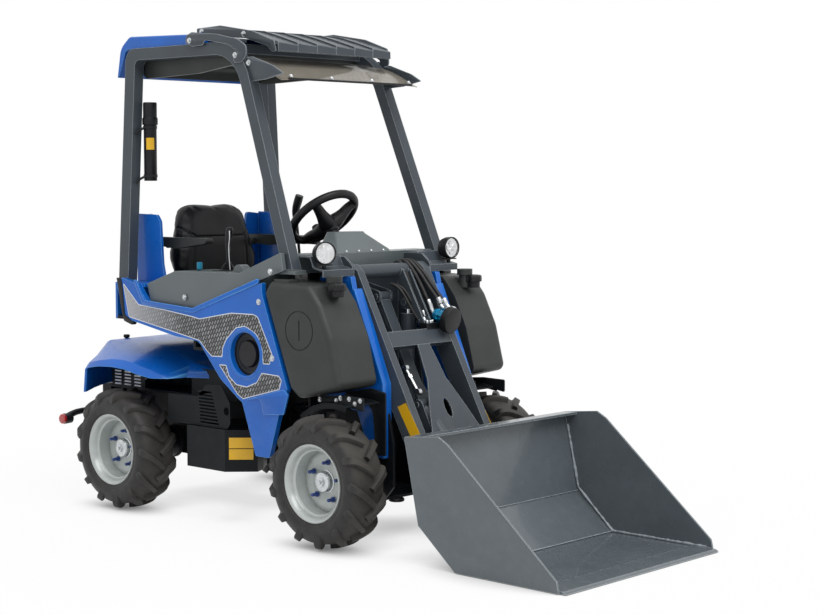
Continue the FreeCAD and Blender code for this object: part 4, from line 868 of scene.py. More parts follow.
@dataclass
class Tyre:
    """A cleated tyre: a round carcass with curved lugs that run from its middle down the shoulders."""

    radius: float = 288.0
    half_width: float = 104.0
    bead_radius: float = 170.0
    lug_count: int = 13
    lug_height: float = 21.0
    lug_rings: int = 19

    def carcass(self) -> list[Flat]:
        """Gives the carcass's outline as pairs of side distance and radius, in mm."""
        crown, w, bead = self.radius - self.lug_height, self.half_width, self.bead_radius
        half = [(0, crown), (30, crown - 1), (58, crown - 5), (78, crown - 12), (92, crown - 24),
                (w - 4, crown - 42), (w - 1, crown - 60), (w - 3, bead + 24), (w - 6, bead + 17),
                (w - 5, bead + 14), (w - 8, bead + 8), (w - 12, bead + 6), (w - 13, bead + 2),
                (w - 18, bead - 6), (w - 34, bead - 8)]
        return [(-a, r) for a, r in reversed(half)] + half[1:] + [(-half[-1][0], half[-1][1])]

    def lug(self, side: int) -> tuple[list[Vector], list[Face]]:
        """Builds one lug about the Y axis, at the side given by its sign.

        Returns:
            Its points and faces.
        """
        crown = self.radius - self.lug_height
        # along the lug: side distance, carcass radius, turn, height, top width and foot width
        path = np.array([
            (-9, crown, -1.0, 19, 20, 32), (12, crown, 2.6, self.lug_height, 22, 35),
            (36, crown - 1.5, 6.4, self.lug_height, 23, 36), (60, crown - 5.5, 10.4, 22, 24, 38),
            (78, crown - 12, 13.4, 21, 28, 40), (88, crown - 20, 15.4, 17, 31, 42),
            (96, crown - 32, 17.0, 8, 32, 42), (100, crown - 44, 17.8, 1, 30, 38),
            (100, crown - 48, 18.0, -4, 28, 34)])
        t = np.linspace(0, len(path) - 1, self.lug_rings)
        rows = np.stack([np.interp(t, np.arange(len(path)), values) for values in path.T], 1)
        for i in range(1, len(rows) - 1):
            rows[i] = rows[i - 1:i + 2].mean(0) * 0.5 + rows[i] * 0.5
        angles = [math.radians(turn) for turn in rows[:, 2]]
        places = [Vector((r * math.cos(a), side * w, r * math.sin(a)))
                  for (w, r, *_), a in zip(rows, angles)]
        verts = []
        for i, (a, (*_, height, top, foot)) in enumerate(zip(angles, rows)):
            before, after = max(i - 1, 0), min(i + 1, len(rows) - 1)
            slope = Vector(rows[after][:2] - rows[before][:2]).normalized()
            up = Vector((slope.x * math.cos(a), side * -slope.y, slope.x * math.sin(a)))
            across = (places[after] - places[before]).normalized().cross(up).normalized()
            half = [(foot / 2, -5), (foot / 2 - 3, 1.5), (top / 2 + 1.2, height - 3.5),
                    (top / 2 - 1.5, height)]
            section = [(-s, h) for s, h in half] + half[::-1]
            verts += [places[i] + across * s + up * h for s, h in section]
        count = len(section)
        return verts, bands(len(rows), count) + [cap(0, count), cap(len(rows) - 1, count)]

    def ring_tree(self) -> Tree:
        """Builds a node tree that repeats a form round the Y axis.

        Returns:
            The tree, with a count and a finish as named inputs.
        """
        growth = Growth("lugs_round_tyre", {"Count": "Int"})
        tree, count = growth.tree, growth.given["Count"]
        line = add(tree, "GeometryNodeMeshLine", {"Offset": (0, 0, 0)}, {"Count": count})
        index = add(tree, "GeometryNodeInputIndex")
        step = add(tree, "ShaderNodeMath", {"operation": "DIVIDE", 0: 2 * math.pi}, {1: count})
        angle = add(tree, "ShaderNodeMath", {"operation": "MULTIPLY"},
                    {0: index.outputs[0], 1: step.outputs[0]})
        turn = add(tree, "ShaderNodeCombineXYZ", {}, {1: angle.outputs[0]})
        return growth.set_out({"Points": line.outputs[0], "Instance": growth.given["Geometry"],
                               "Rotation": turn.outputs[0]})

    def build(self, node: str, body: str) -> Piece:
        """Builds a tyre in the place of a CAD node, riding on its wheel."""
        low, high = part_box(node)
        centre = (low + high) / 2
        verts, faces = [], []
        for side, shift in ((1, 0.0), (-1, math.pi / self.lug_count)):
            turn = Matrix.Rotation(-shift, 3, "Y")
            points, sides = self.lug(side)
            start = len(verts)
            verts += [turn @ point * MM for point in points]
            faces += [tuple(start + i for i in face) for face in sides]
        lugs = mesh_object(node + "_lugs", verts, faces, 40)
        grow(lugs, self.ring_tree(), {"Count": self.lug_count, "Finish": finish(Stock.TYRE)})
        lugs.data.transform(Matrix.Translation(centre))
        carcass = lathe(node + "_carcass", self.carcass(), centre, LEFT, 112, 50)
        return stand_in(node + "_tread", (painted(carcass, Stock.TYRE), lugs), node, body, "tyre_rubber")


@dataclass
class Seat:
    """The driver's seat: a moulded vinyl cushion and a backrest with a V seam and side bolsters."""

    voxel: float = 5.0
    shrink: float = 5.0
    swell: float = 24.0
    overhang: float = 4.0
    pressure: float = 4.0
    frames: int = 20
    groove_depth: float = 5.0
    groove_width: float = 5.0

    def read(self, mesh: bpy.types.Mesh, name: str) -> np.ndarray:
        """Gives a vector of every vertex, as rows."""
        values = np.empty(len(mesh.vertices) * 3)
        mesh.vertices.foreach_get(name, values)
        return values.reshape(-1, 3)

    def blown(self, pad: Piece) -> np.ndarray:
        """Blows a pad up as cloth under pressure, and gives where its points end."""
        scene = bpy.context.scene
        cloth = pad.modifiers.new("cloth", "CLOTH")
        cloth.settings.use_pressure = True
        cloth.settings.uniform_pressure_force = self.pressure
        cloth.settings.effector_weights.gravity = 0
        cloth.point_cache.frame_start, cloth.point_cache.frame_end = 1, self.frames
        for number in range(1, self.frames + 1):
            scene.frame_set(number)
        moved = self.read(pad.evaluated_get(bpy.context.evaluated_depsgraph_get()).to_mesh(), "co")
        pad.modifiers.clear()
        scene.frame_set(1)
        return moved

    def puffed(self, name: str, node: str) -> Piece:
        """Makes a padded copy of a soft CAD solid.

        Args:
            name: The pad's name.
            node: The soft CAD node.

        Returns:
            The pad, with no modifier left on it.
        """
        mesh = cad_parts[node].data.copy()
        mesh.materials.clear()
        work = bmesh.new()
        work.from_mesh(mesh)
        bmesh.ops.remove_doubles(work, verts=work.verts, dist=1e-5)
        work.to_mesh(mesh)
        work.free()
        pad = linked(name, mesh)
        remesh = pad.modifiers.new("remesh", "REMESH")
        remesh.mode, remesh.voxel_size = "VOXEL", self.voxel * MM
        bake(pad)
        start = self.read(pad.data, "co")
        shrunk = start - self.read(pad.data, "normal") * self.shrink * MM
        pad.data.vertices.foreach_set("co", shrunk.ravel())
        move = self.blown(pad) - shrunk
        length = np.linalg.norm(move, axis=1, keepdims=True)
        move *= np.minimum(1, self.swell * MM / np.maximum(length, 1e-9))
        reach = self.overhang * MM
        placed = np.clip(shrunk + move, start.min(0) - reach, start.max(0) + reach)
        pad.data.vertices.foreach_set("co", placed.ravel())
        pad.data.update()
        smooth = pad.modifiers.new("smooth", "SMOOTH")
        smooth.iterations, smooth.factor = 22, 0.5
        finer = pad.modifiers.new("finer", "SUBSURF")
        finer.levels = finer.render_levels = 1
        bake(pad)
        soften(pad.data, 180)
        return pad

    def groove(self, pad: Piece, lines: Sequence[Sequence[Flat]], axes: tuple[int, int],
               facing: Vector) -> None:
        """Presses sewn grooves into a pad's face.

        Args:
            pad: The pad.
            lines: Each groove's corners in the plane of the two axes, in metres.
            axes: The two axes' numbers.
            facing: The side that gets the grooves.
        """
        places, normals = self.read(pad.data, "co"), self.read(pad.data, "normal")
        flat = places[:, list(axes)]
        nearest = np.full(len(places), 1.0)
        for line in lines:
            for a, b in zip(np.array(line), np.array(line[1:])):
                run = b - a
                t = np.clip(((flat - a) @ run) / (run @ run), 0, 1)
                nearest = np.minimum(nearest, np.linalg.norm(flat - a - t[:, None] * run, axis=1))
        share = np.clip(normals @ np.array(facing), 0, 1) ** 0.5
        push = self.groove_depth * MM * np.exp(-(nearest / (self.groove_width * MM)) ** 2) * share
        places -= normals * push[:, None]
        pad.data.vertices.foreach_set("co", places.ravel())
        pad.data.update()

    def build(self) -> None:
        """Builds the cushion and the backrest."""
        cushion = self.puffed("seat_cushion_pad", "seat_cushion")
        self.groove(cushion, [
            [(-1.04, -0.19), (-0.63, -0.165)], [(-1.04, 0.19), (-0.63, 0.165)],
            [(-0.86, -0.175), (-0.86, 0.175)]], (0, 1), UP)
        back = self.puffed("seat_back_pad", "seat_back")
        low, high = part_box("seat_back")
        foot, shoulder, seam = low.z + 0.02, high.z - 0.11, high.z - 0.165
        self.groove(back, [
            [(-0.235, shoulder), (-0.15, seam), (0.15, seam), (0.235, shoulder)],
            [(-0.18, foot), (-0.165, seam)], [(0.18, foot), (0.165, seam)]], (1, 2), FORWARD)
        for pad, node in ((cushion, "seat_cushion"), (back, "seat_back")):
            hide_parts(node)
            seat_on(pad, "front_frame", Stock.VINYL, "seat_cover")


@dataclass
class Studio:
    """The pale floor, the soft light and the camera."""

    camera_place: Point = (5.54203, -5.70273, 1.58962)
    yaw: float = 132.768
    pitch: float = -4.325
    lens: float = 76.088
    fill: float = 0.6
    key: float = 1.75
    key_from: Point = (0.62, -0.16, 1.1)
    key_width: float = 50.0
    floor_radius: float = 30.0
    floor_level: float = -0.0005

    def in_sight(self, tree: Tree) -> Socket:
        """Gives one for a ray that shows the room: straight, mirrored or through glazing."""
        rays = add(tree, "ShaderNodeLightPath").outputs
        seen = rays["Is Camera Ray"]
        for kind in ("Is Glossy Ray", "Is Transmission Ray"):
            seen = add(tree, "ShaderNodeMath", {"operation": "MAXIMUM"}, {0: seen, 1: rays[kind]}).outputs[0]
        return seen

    def floor(self) -> None:
        """Lays the floor, pale under the machine with painted contact shadows, and as bright as the room
        further off.
        """
        g = Ground("studio_floor")
        g.tree.nodes.remove(g.shader)
        output = next(n for n in g.tree.nodes if n.type == "OUTPUT_MATERIAL")
        paint = add(g.tree, "ShaderNodeBsdfDiffuse", {"Color": (0.78, 0.78, 0.78, 1)})
        # painted contact shadow: for camera, mirror and glazing rays the floor glows less where ambient
        # occlusion finds parts close above it
        gap = add(g.tree, "ShaderNodeAmbientOcclusion", {"samples": 16, "Distance": 0.3})
        painted_contact_shadow = g.share(gap.outputs["AO"], 0.0, 0.78, 0.12, 0.9)
        lift = add(g.tree, "ShaderNodeEmission", {"Color": (1, 1, 1, 1)}, {"Strength": painted_contact_shadow})
        dim = add(g.tree, "ShaderNodeBsdfDiffuse", {"Color": (0.09, 0.09, 0.09, 1)})
        near = add(g.tree, "ShaderNodeAddShader", {}, {0: dim.outputs[0], 1: lift.outputs[0]})
        far = add(g.tree, "ShaderNodeEmission", {"Color": (1, 1, 1, 1), "Strength": 1.0})
        length = add(g.tree, "ShaderNodeVectorMath", {"operation": "LENGTH"}, {0: g.place}).outputs["Value"]
        seen = self.in_sight(g.tree)
        share = g.times(g.share(length, 2.2, 4.2), seen)
        lit = add(g.tree, "ShaderNodeMixShader", {}, {0: seen, 1: paint.outputs[0], 2: near.outputs[0]})
        whole = add(g.tree, "ShaderNodeMixShader", {}, {0: share, 1: lit.outputs[0], 2: far.outputs[0]})
        g.tree.links.new(whole.outputs[0], output.inputs["Surface"])
        verts = [(x, y, self.floor_level) for x, y in oval(0, 0, self.floor_radius, self.floor_radius, 64)]
        floor = mesh_object("studio_floor", verts, [cap(0, 64)], None)
        floor.data.materials.append(g.material)

    def light(self) -> None:
        """Lights the room: an even sky that shows white, and one broad soft key from above."""
        world = bpy.data.worlds.new("studio")
        bpy.context.scene.world = world
        world.use_nodes = True
        tree = world.node_tree
        tree.nodes.clear()
        strength = add(tree, "ShaderNodeMapRange", {"To Min": self.fill, "To Max": 1.0},
                       {"Value": self.in_sight(tree)})
        sky = add(tree, "ShaderNodeBackground", {"Color": (1, 1, 1, 1)}, {"Strength": strength.outputs[0]})
        add(tree, "ShaderNodeOutputWorld", {}, {0: sky.outputs[0]})
        lamp = bpy.data.lights.new("key", "SUN")
        lamp.energy, lamp.angle = self.key, math.radians(self.key_width)
        sun = linked("key", lamp)
        sun.rotation_mode = "QUATERNION"
        sun.rotation_quaternion = Vector(self.key_from).to_track_quat("Z", "Y")

    def camera(self) -> None:
        """Sets the camera at the viewing angle."""
        data = bpy.data.cameras.new("camera")
        data.lens, data.sensor_width = self.lens, 36.0
        data.clip_start, data.clip_end = 0.1, 200
        made = linked("camera", data)
        y, p = math.radians(self.yaw), math.radians(self.pitch)
        way = Vector((math.cos(p) * math.cos(y), math.cos(p) * math.sin(y), math.sin(p)))
        made.location = self.camera_place
        made.rotation_mode = "QUATERNION"
        made.rotation_quaternion = way.to_track_quat("-Z", "Y")
        bpy.context.scene.camera = made

    def build(self) -> None:
        """Sets up the room."""
        self.floor()
        self.light()
        self.camera()
        bpy.context.scene.view_settings.view_transform = "Standard"


@dataclass
class Decals:
    """Films on the cab panels: a carbon band and a small carbon patch with white outlines."""

    face: float = 555.0
    film: float = 0.5
    sunk: float = 0.2
    margin: float = 4.0
    band: tuple = ((-1361, 1084, 6), (-1242, 984, 12), (-1047, 969, 20), (-853, 949, 12), (-803, 941, 12),
                   (-685, 962, 12), (-588, 979, 12), (-440, 981, 10), (-410, 971, 12), (-317, 809, 8),
                   (-336, 765, 6), (-378, 764, 5), (-384, 829, 30), (-418, 890, 40), (-493, 923, 50),
                   (-555, 911, 40), (-618, 858, 40), (-643, 818, 20), (-648, 776, 6), (-721, 774, 8),
                   (-756, 798, 12), (-805, 840, 20), (-1048, 878, 20), (-1318, 920, 20))
    patch: tuple = ((-673, 742, 5), (-622, 743, 6), (-601, 693, 20), (-553, 661, 20), (-486, 656, 20),
                    (-420, 681, 12), (-387, 725, 6), (-277, 721, 6), (-259, 701, 6), (-273, 659, 8),
                    (-511, 598, 10), (-549, 617, 10))

    def lay(self, name: str, outline: Sequence[Flat], side: int, films: int, stock: Stock) -> None:
        """Lays a film, sunk a little into the panel, as thick as a number of films."""
        film = plate(name, outline, side * (self.face - self.sunk), side * (self.face + self.film * films))
        seat_on(film, "front_frame", stock, "blue_paint")

    def build(self) -> None:
        """Lays the films on both panels."""
        for side, hand in SIDES:
            for name, corners in (("band", self.band), ("patch", self.patch)):
                outline = rounded(corners)
                self.lay(f"{name}_edge_{hand}", outline, side, 1, Stock.WHITE)
                self.lay(f"{name}_film_{hand}", inset(outline, self.margin), side, 2, Stock.CARBON)


@dataclass
class Rims:
    """The four rims: a deep dished well with a rolled lip, five bolts and a plated hub with its nut."""

    bolt_circle: float = 84.0
    bolts: int = 5
    first_bolt: float = 83.0
    well: tuple = ((-93, 168), (-89, 170), (-85, 167), (-80, 158), (-60, 150), (-30, 140), (30, 140),
                   (60, 150), (80, 158), (85, 167), (89, 170), (93, 168), (94.5, 164), (92, 160), (86, 155),
                   (80, 150), (66, 146), (60, 143), (56, 136), (34, 134), (-34, 134), (-56, 137), (-66, 146),
                   (-84, 154), (-92, 160), (-93, 168))
    disc: tuple = ((-9, 0), (-9, 128), (-14, 136), (-6, 136), (2, 126), (4, 112), (1, 98), (1, 60), (5, 54),
                   (5, 0))
    hub: tuple = ((4, 0), (4, 50), (9, 50), (11, 46), (28, 45), (34, 41), (36, 34), (36, 0))

    def build(self) -> None:
        """Builds the rims, their bolts and their hubs."""
        for place in WHEELS:
            node, body = "rim_" + place, "wheel_" + place
            low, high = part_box("tyre_" + place)
            centre = (low + high) / 2
            side = -1 if centre.y < 0 else 1
            facing = (0, side, 0)
            axis = Vector(facing)
            shell = [lathe(node, outline, centre, axis, 72, 30) for outline in (self.well, self.disc)]
            stand_in("rim_dish_" + place, coat(shell, Stock.SILVER), node, body, "rim_silver")
            hub = lathe("hub_cap_" + place, self.hub, centre, axis, 40, 30)
            seat_on(hub, body, Stock.ZINC)
            studs = Fasteners("wheel_bolts_" + place, body, 8, Head.HEX, Stock.STUD, 34)
            x, y, z = centre.x / MM - AXLE_X, centre.y / MM, centre.z / MM
            for number in range(self.bolts):
                a = math.radians(self.first_bolt + 360 / self.bolts * number)
                studs.put(x + self.bolt_circle * math.cos(a), y + side * 2,
                          z + self.bolt_circle * math.sin(a), facing)
            studs.build()
            nut = Fasteners("hub_nut_" + place, body, 19, Head.NUT, Stock.ZINC, 13)
            nut.put(x, y + side * 35, z, facing).build()
            valve = pipe("valve_" + place, route((x + 112, y + side * 2, z), (x + 112, y + side * 22, z),
                                                 (x + 114, y + side * 44, z)), 5, (1.2, 1, 0.7))
            seat_on(valve, body, Stock.HOSE)


@dataclass
class SteeringWheel:
    """The steering wheel: a thick padded rim on three broad spokes that dip to the hub."""

    radius: float = 164.0
    tube: float = 20.0
    dip: float = -52.0
    spokes: tuple = (52.0, -52.0, 180.0)
    hub: tuple = ((-94, 0), (-94, 30), (-84, 36), (-60, 40), (-44, 46), (-34, 44), (-29, 34), (-28, 0))
    centre: Point = (-565, 0, 1395)
    up: Point = (-0.6665, 0, 0.7455)

    def place(self, degrees: float, radius: float, lift: float) -> Vector:
        """Gives a place by its turn from straight ahead, its radius and its lift over the wheel's plane."""
        a, up = math.radians(degrees), Vector(self.up)
        ahead = LEFT.cross(up)
        spoke = ahead * math.cos(a) * radius + LEFT * math.sin(a) * radius
        return at(*self.centre) + (spoke + up * lift) * MM

    def build(self) -> None:
        """Builds the wheel in the place of its node."""
        up = Vector(self.up)
        circle = [self.place(degrees, self.radius * 1.004, 0) for degrees in range(0, 360, 12)]
        parts = [pipe("wheel_rim", circle, self.tube, closed=True)]
        for degrees in self.spokes:
            run = ((self.radius - 4, 0), (self.radius * 0.78, -6), (self.radius * 0.5, -30),
                   (30, self.dip + 4), (8, self.dip))
            parts.append(pipe("wheel_spoke", [self.place(degrees, *step) for step in run], 24,
                              (0.85, 0.95, 1.15, 1.7, 1.8)))
        parts.append(lathe("wheel_hub", self.hub, at(*self.centre), up, 40))
        stand_in("steering_wheel_padded", coat(parts, Stock.TRIM), "steering_wheel", "steering_wheel_body",
                 "black_plastic")
        knob = lathe("spinner_knob", ((-8, 0), (-8, 9), (14, 9), (18, 17), (32, 21), (42, 18), (46, 0)),
                     self.place(148, self.radius, self.tube), up, 28)
        seat_on(knob, "steering_wheel_body", Stock.TRIM)


@dataclass
class Cowl:
    """The pressed cowl over the steering column, with the column and its boot."""

    length: float = 190.0

    def build(self) -> None:
        """Builds the cowl and the column in the place of their node."""
        def ring(x0: float, x1: float, half: float, z: float, cut: float) -> list[Vector]:
            """Gives the cowl's outline at a height, from x0 to x1 and as wide as twice the half."""
            return [at(x, y, z) for x, y in oblong(x0, -half, x1, half, cut)]

        cowl = loft("column_cowl", [ring(-428, -292, 172, 1240.3, 12), ring(-432, -300, 168, 1252, 14),
                                    ring(-452, -382, 104, 1320, 20), ring(-450, -392, 96, 1331, 16)], 28)
        up = Vector(SteeringWheel.up)
        column = lathe("column", ((0, 0), (0, 34), (12, 38), (30, 34), (60, 30), (94, 27), (94, 0)),
                       at(*SteeringWheel.centre) - up * self.length * MM, up, 32)
        stand_in("column_and_cowl", (painted(cowl, Stock.CONSOLE), painted(column, Stock.TRIM)),
                 "steering_column", "front_frame", "black_plastic")
        screws = Fasteners("cowl_screws", "front_frame", 5, Head.BUTTON)
        screws.both(-293, 120, 1246, (1, 0, 0.2)).both(-293, 40, 1246, (1, 0, 0.2)).build()


@dataclass
class Lamps:
    """The round work lamps: a finned housing, a bezel, four bright bowls and a clear lens."""

    turns: tuple = (-22.0, -2.0)
    offset: float = 407.0
    radius: float = 50.0
    bowl_spread: float = 16.0
    bowl: tuple = ((0, 0), (-0.5, 0.1), (-0.5, 15), (3.5, 16.5), (3.5, 15.6), (1.2, 6), (1, 0))

    def housing(self, centre: Vector, axis: Vector, y: float) -> list[Piece]:
        """Builds a lamp's finned housing, its stem and its bracket."""
        r = self.radius
        shell = lathe("lamp", ((-38, 0), (-38, 26), (-34, 30), (-30, 30), (-28, 42), (-22, 44), (-20, 40),
                               (-16, 40), (-14, 47), (-6, 49), (20, r), (25, r), (27, r - 2), (27, r - 5),
                               (20, r - 6), (19, 0)), centre, axis, 48, 30)
        stem = pipe("stem", route((-146, y, 1186), (-146, y, 1200), (-140, y, 1212)), 9)
        bracket = plate("bracket", oblong(-160, y - 35, -126, y + 35, 3), 1199, 1204, 1, level=True)
        return coat((shell, stem, bracket), Stock.TRIM)

    def build(self) -> None:
        """Builds both lamps in the place of their node."""
        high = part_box("work_lamps")[1]
        bodies = []
        for (side, hand), degrees in zip(SIDES, self.turns):
            y, a = side * self.offset, math.radians(degrees)
            centre = at(-148, y, high.z / MM - 53)
            axis = Vector((math.cos(a), math.sin(a), 0.02)).normalized()
            bodies += self.housing(centre, axis, y)
            face = centre + axis * 20 * MM
            across = axis.cross(UP).normalized() * self.bowl_spread
            rise = UP * self.bowl_spread
            bowls = [lathe("bowl", self.bowl, face + shift * MM, axis, 20, 60)
                     for shift in (-across, across, rise, -rise)]
            backing = lathe("backing", ((-1, 0), (-1, 44), (0.4, 44), (0.4, 0)), face, axis, 40, 30)
            bright = join("lamp_bowls_" + hand, coat(bowls + [backing], Stock.MIRROR))
            seat_on(bright, "front_frame", slot="black_plastic")
            lens = lathe("lamp_lens_" + hand, ((5, 0), (4.6, 20), (3.8, 43.5), (5.4, 43.5), (6.4, 20),
                                               (6.8, 0)), face, axis, 40, 60)
            seat_on(lens, "front_frame", Stock.LENS)
        stand_in("lamp_housings", bodies, "work_lamps", "front_frame", "black_plastic")


@dataclass
class Tanks:
    """Lobed filler knobs on the side tanks, and the steps moulded on their tops."""

    lobes: int = 6
    knob: tuple = ((1070, 30, 0), (1096, 31, 0), (1098, 37, 0.1), (1122, 37, 0.1), (1128, 32, 0.08),
                   (1130, 18, 0.0))

    def filler_knob(self, name: str, x: float, y: float) -> Piece:
        """Builds a lobed knob from rings of height, radius and depth of the lobes."""
        rings = []
        for z, radius, depth in self.knob:
            reach = [((1 + depth * math.cos(self.lobes * a)) * radius, a) for a in turns(72)]
            rings.append([at(x + r * math.cos(a), y + r * math.sin(a), z) for r, a in reach])
        return loft(name, rings, 40)

    def build(self) -> None:
        """Builds the knobs and the moulded steps."""
        for side, hand in SIDES:
            knob = self.filler_knob("filler_knob_" + hand, -26, side * 446)
            seat_on(knob, "front_frame", Stock.TRIM, "black_plastic")
            step = plate("tank_step_" + hand, rounded((
                (-330, side * 534, 8), (-240, side * 534, 8), (-232, side * 470, 8), (-322, side * 470, 8))),
                1122, 1139, 4, level=True)
            seat_on(step, "front_frame", Stock.PLASTIC, "black_plastic")


@dataclass
class RoofGuard:
    """The guard over the roof: ribs with folded front edges, side plates, hooks and corner plates."""

    ribs: int = 6
    half: float = 362.0
    lap: float = 9.0
    sheet: float = 4.0
    spine: tuple = ((-1022, 2262), (-920, 2268), (-700, 2247), (-600, 2220), (-480, 2184))
    nose: tuple = ((-476, 2180), (-475, 2143))
    flank: tuple = ((-1026, 2270, 8), (-860, 2275, 30), (-647, 2240, 40), (-500, 2190, 12), (-484, 2141, 6),
                    (-512, 2139, 6), (-545, 2168, 30), (-690, 2208, 60), (-925, 2226, 12), (-1024, 2232, 6))
    hook: tuple = ((-1000, 2198, 16), (-985, 2232, 12), (-950, 2244, 10), (-777, 2226, 60), (-640, 2198, 50),
                   (-580, 2166, 30), (-578, 2122, 30), (-612, 2092, 16), (-660, 2092, 16), (-668, 2112, 12),
                   (-634, 2128, 10), (-640, 2146, 12), (-700, 2176, 40), (-862, 2204, 20), (-872, 2181, 12),
                   (-945, 2178, 16))
    corner: tuple = ((-600, 2112, 12), (-556, 2116, 8), (-417, 2070, 4), (-352, 2034, 4), (-470, 2012, 4),
                     (-606, 2004, 16))
    visor: tuple = ((-649, 2122), (-600, 2113), (-540, 2095), (-480, 2070), (-430, 2044), (-392, 2026),
                    (-374, 2019))
    visor_half: int = 438
    visor_droop: float = 10.0

    def sheets(self) -> list[Piece]:
        """Builds the ribs, each a strip that laps over its neighbour and folds down at the front."""
        width = 2 * self.half / self.ribs
        rows = self.spine + self.nose
        parts = []
        for number in range(self.ribs):
            near = -self.half + number * width
            far = near + width - 1
            rings = []
            for x, z in rows:
                drop = 0 if (x, z) == rows[-1] else self.lap
                inner = x - (self.sheet if (x, z) in self.nose else 0)
                rings.append([at(x, near, z), at(x, far, z - drop), at(inner, far, z - drop - self.sheet),
                              at(inner, near, z - self.sheet)])
            folds = [[at(x, near - 1, z + 1.5), at(x, near + 3, z + 1.5), at(x, near + 3, z - 14),
                      at(x, near - 1, z - 14)] for x, z in rows[:-1]]
            parts += [loft("guard_rib", rings, 20), loft("guard_fold", folds, 20)]
        return parts

    def shield(self) -> None:
        """Builds the smoked visor, bent down at its sides."""
        half, gap = self.visor_half, self.visor_half // 6
        across = range(-half, half + 1, gap)
        rings = []
        for x, z in self.visor:
            top = [at(x, y, z - self.visor_droop * (abs(y) / half) ** 4) for y in across]
            rings.append(top + [at(x, y, z - 4 - self.visor_droop * (abs(y) / half) ** 4)
                                for y in reversed(across)])
        visor = loft("visor_sheet", rings, 60)
        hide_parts("visor")
        seat_on(visor, "front_frame", Stock.VISOR)

    def build(self) -> None:
        """Builds the guard in the place of its node, and what holds it."""
        parts = self.sheets()
        for side, _ in SIDES:
            parts += [plate("flank", rounded(self.flank), side * 362, side * 367, 1),
                      plate("hook", rounded(self.hook), side * 456, side * 462, 1),
                      plate("corner", rounded(self.corner), side * 441, side * 446, 1)]
            parts += [pipe("spacer", route((x, side * 366, z), (x, side * 412, z), (x, side * 458, z)), 9)
                      for x, z in ((-930, 2216), (-690, 2196))]
        stand_in("roof_guard_ribbed", coat(parts, Stock.GREY), "roof_guard", "front_frame", "black_paint")
        self.shield()
        screws = Fasteners("guard_screws", "front_frame", 9, Head.HEX)
        for x, y, z in ((-966, 462, 2206), (-652, 462, 2126), (-604, 446, 2026), (-700, 367, 2228),
                        (-990, 367, 2254), (-580, 446, 2090)):
            screws.both(x, y, z)
        screws.build()
        rail = pipe("visor_rail", route((-373, -396, 2014), (-371, 0, 2014), (-373, 396, 2014)), 5)
        seat_on(rail, "front_frame", Stock.TRIM, "black_plastic")
        clips = Fasteners("visor_clips", "front_frame", 8, Head.BUTTON)
        for y in (130, 380):
            clips.both(-376, y, 2026, (0.55, 0, 0.85))
        clips.build()


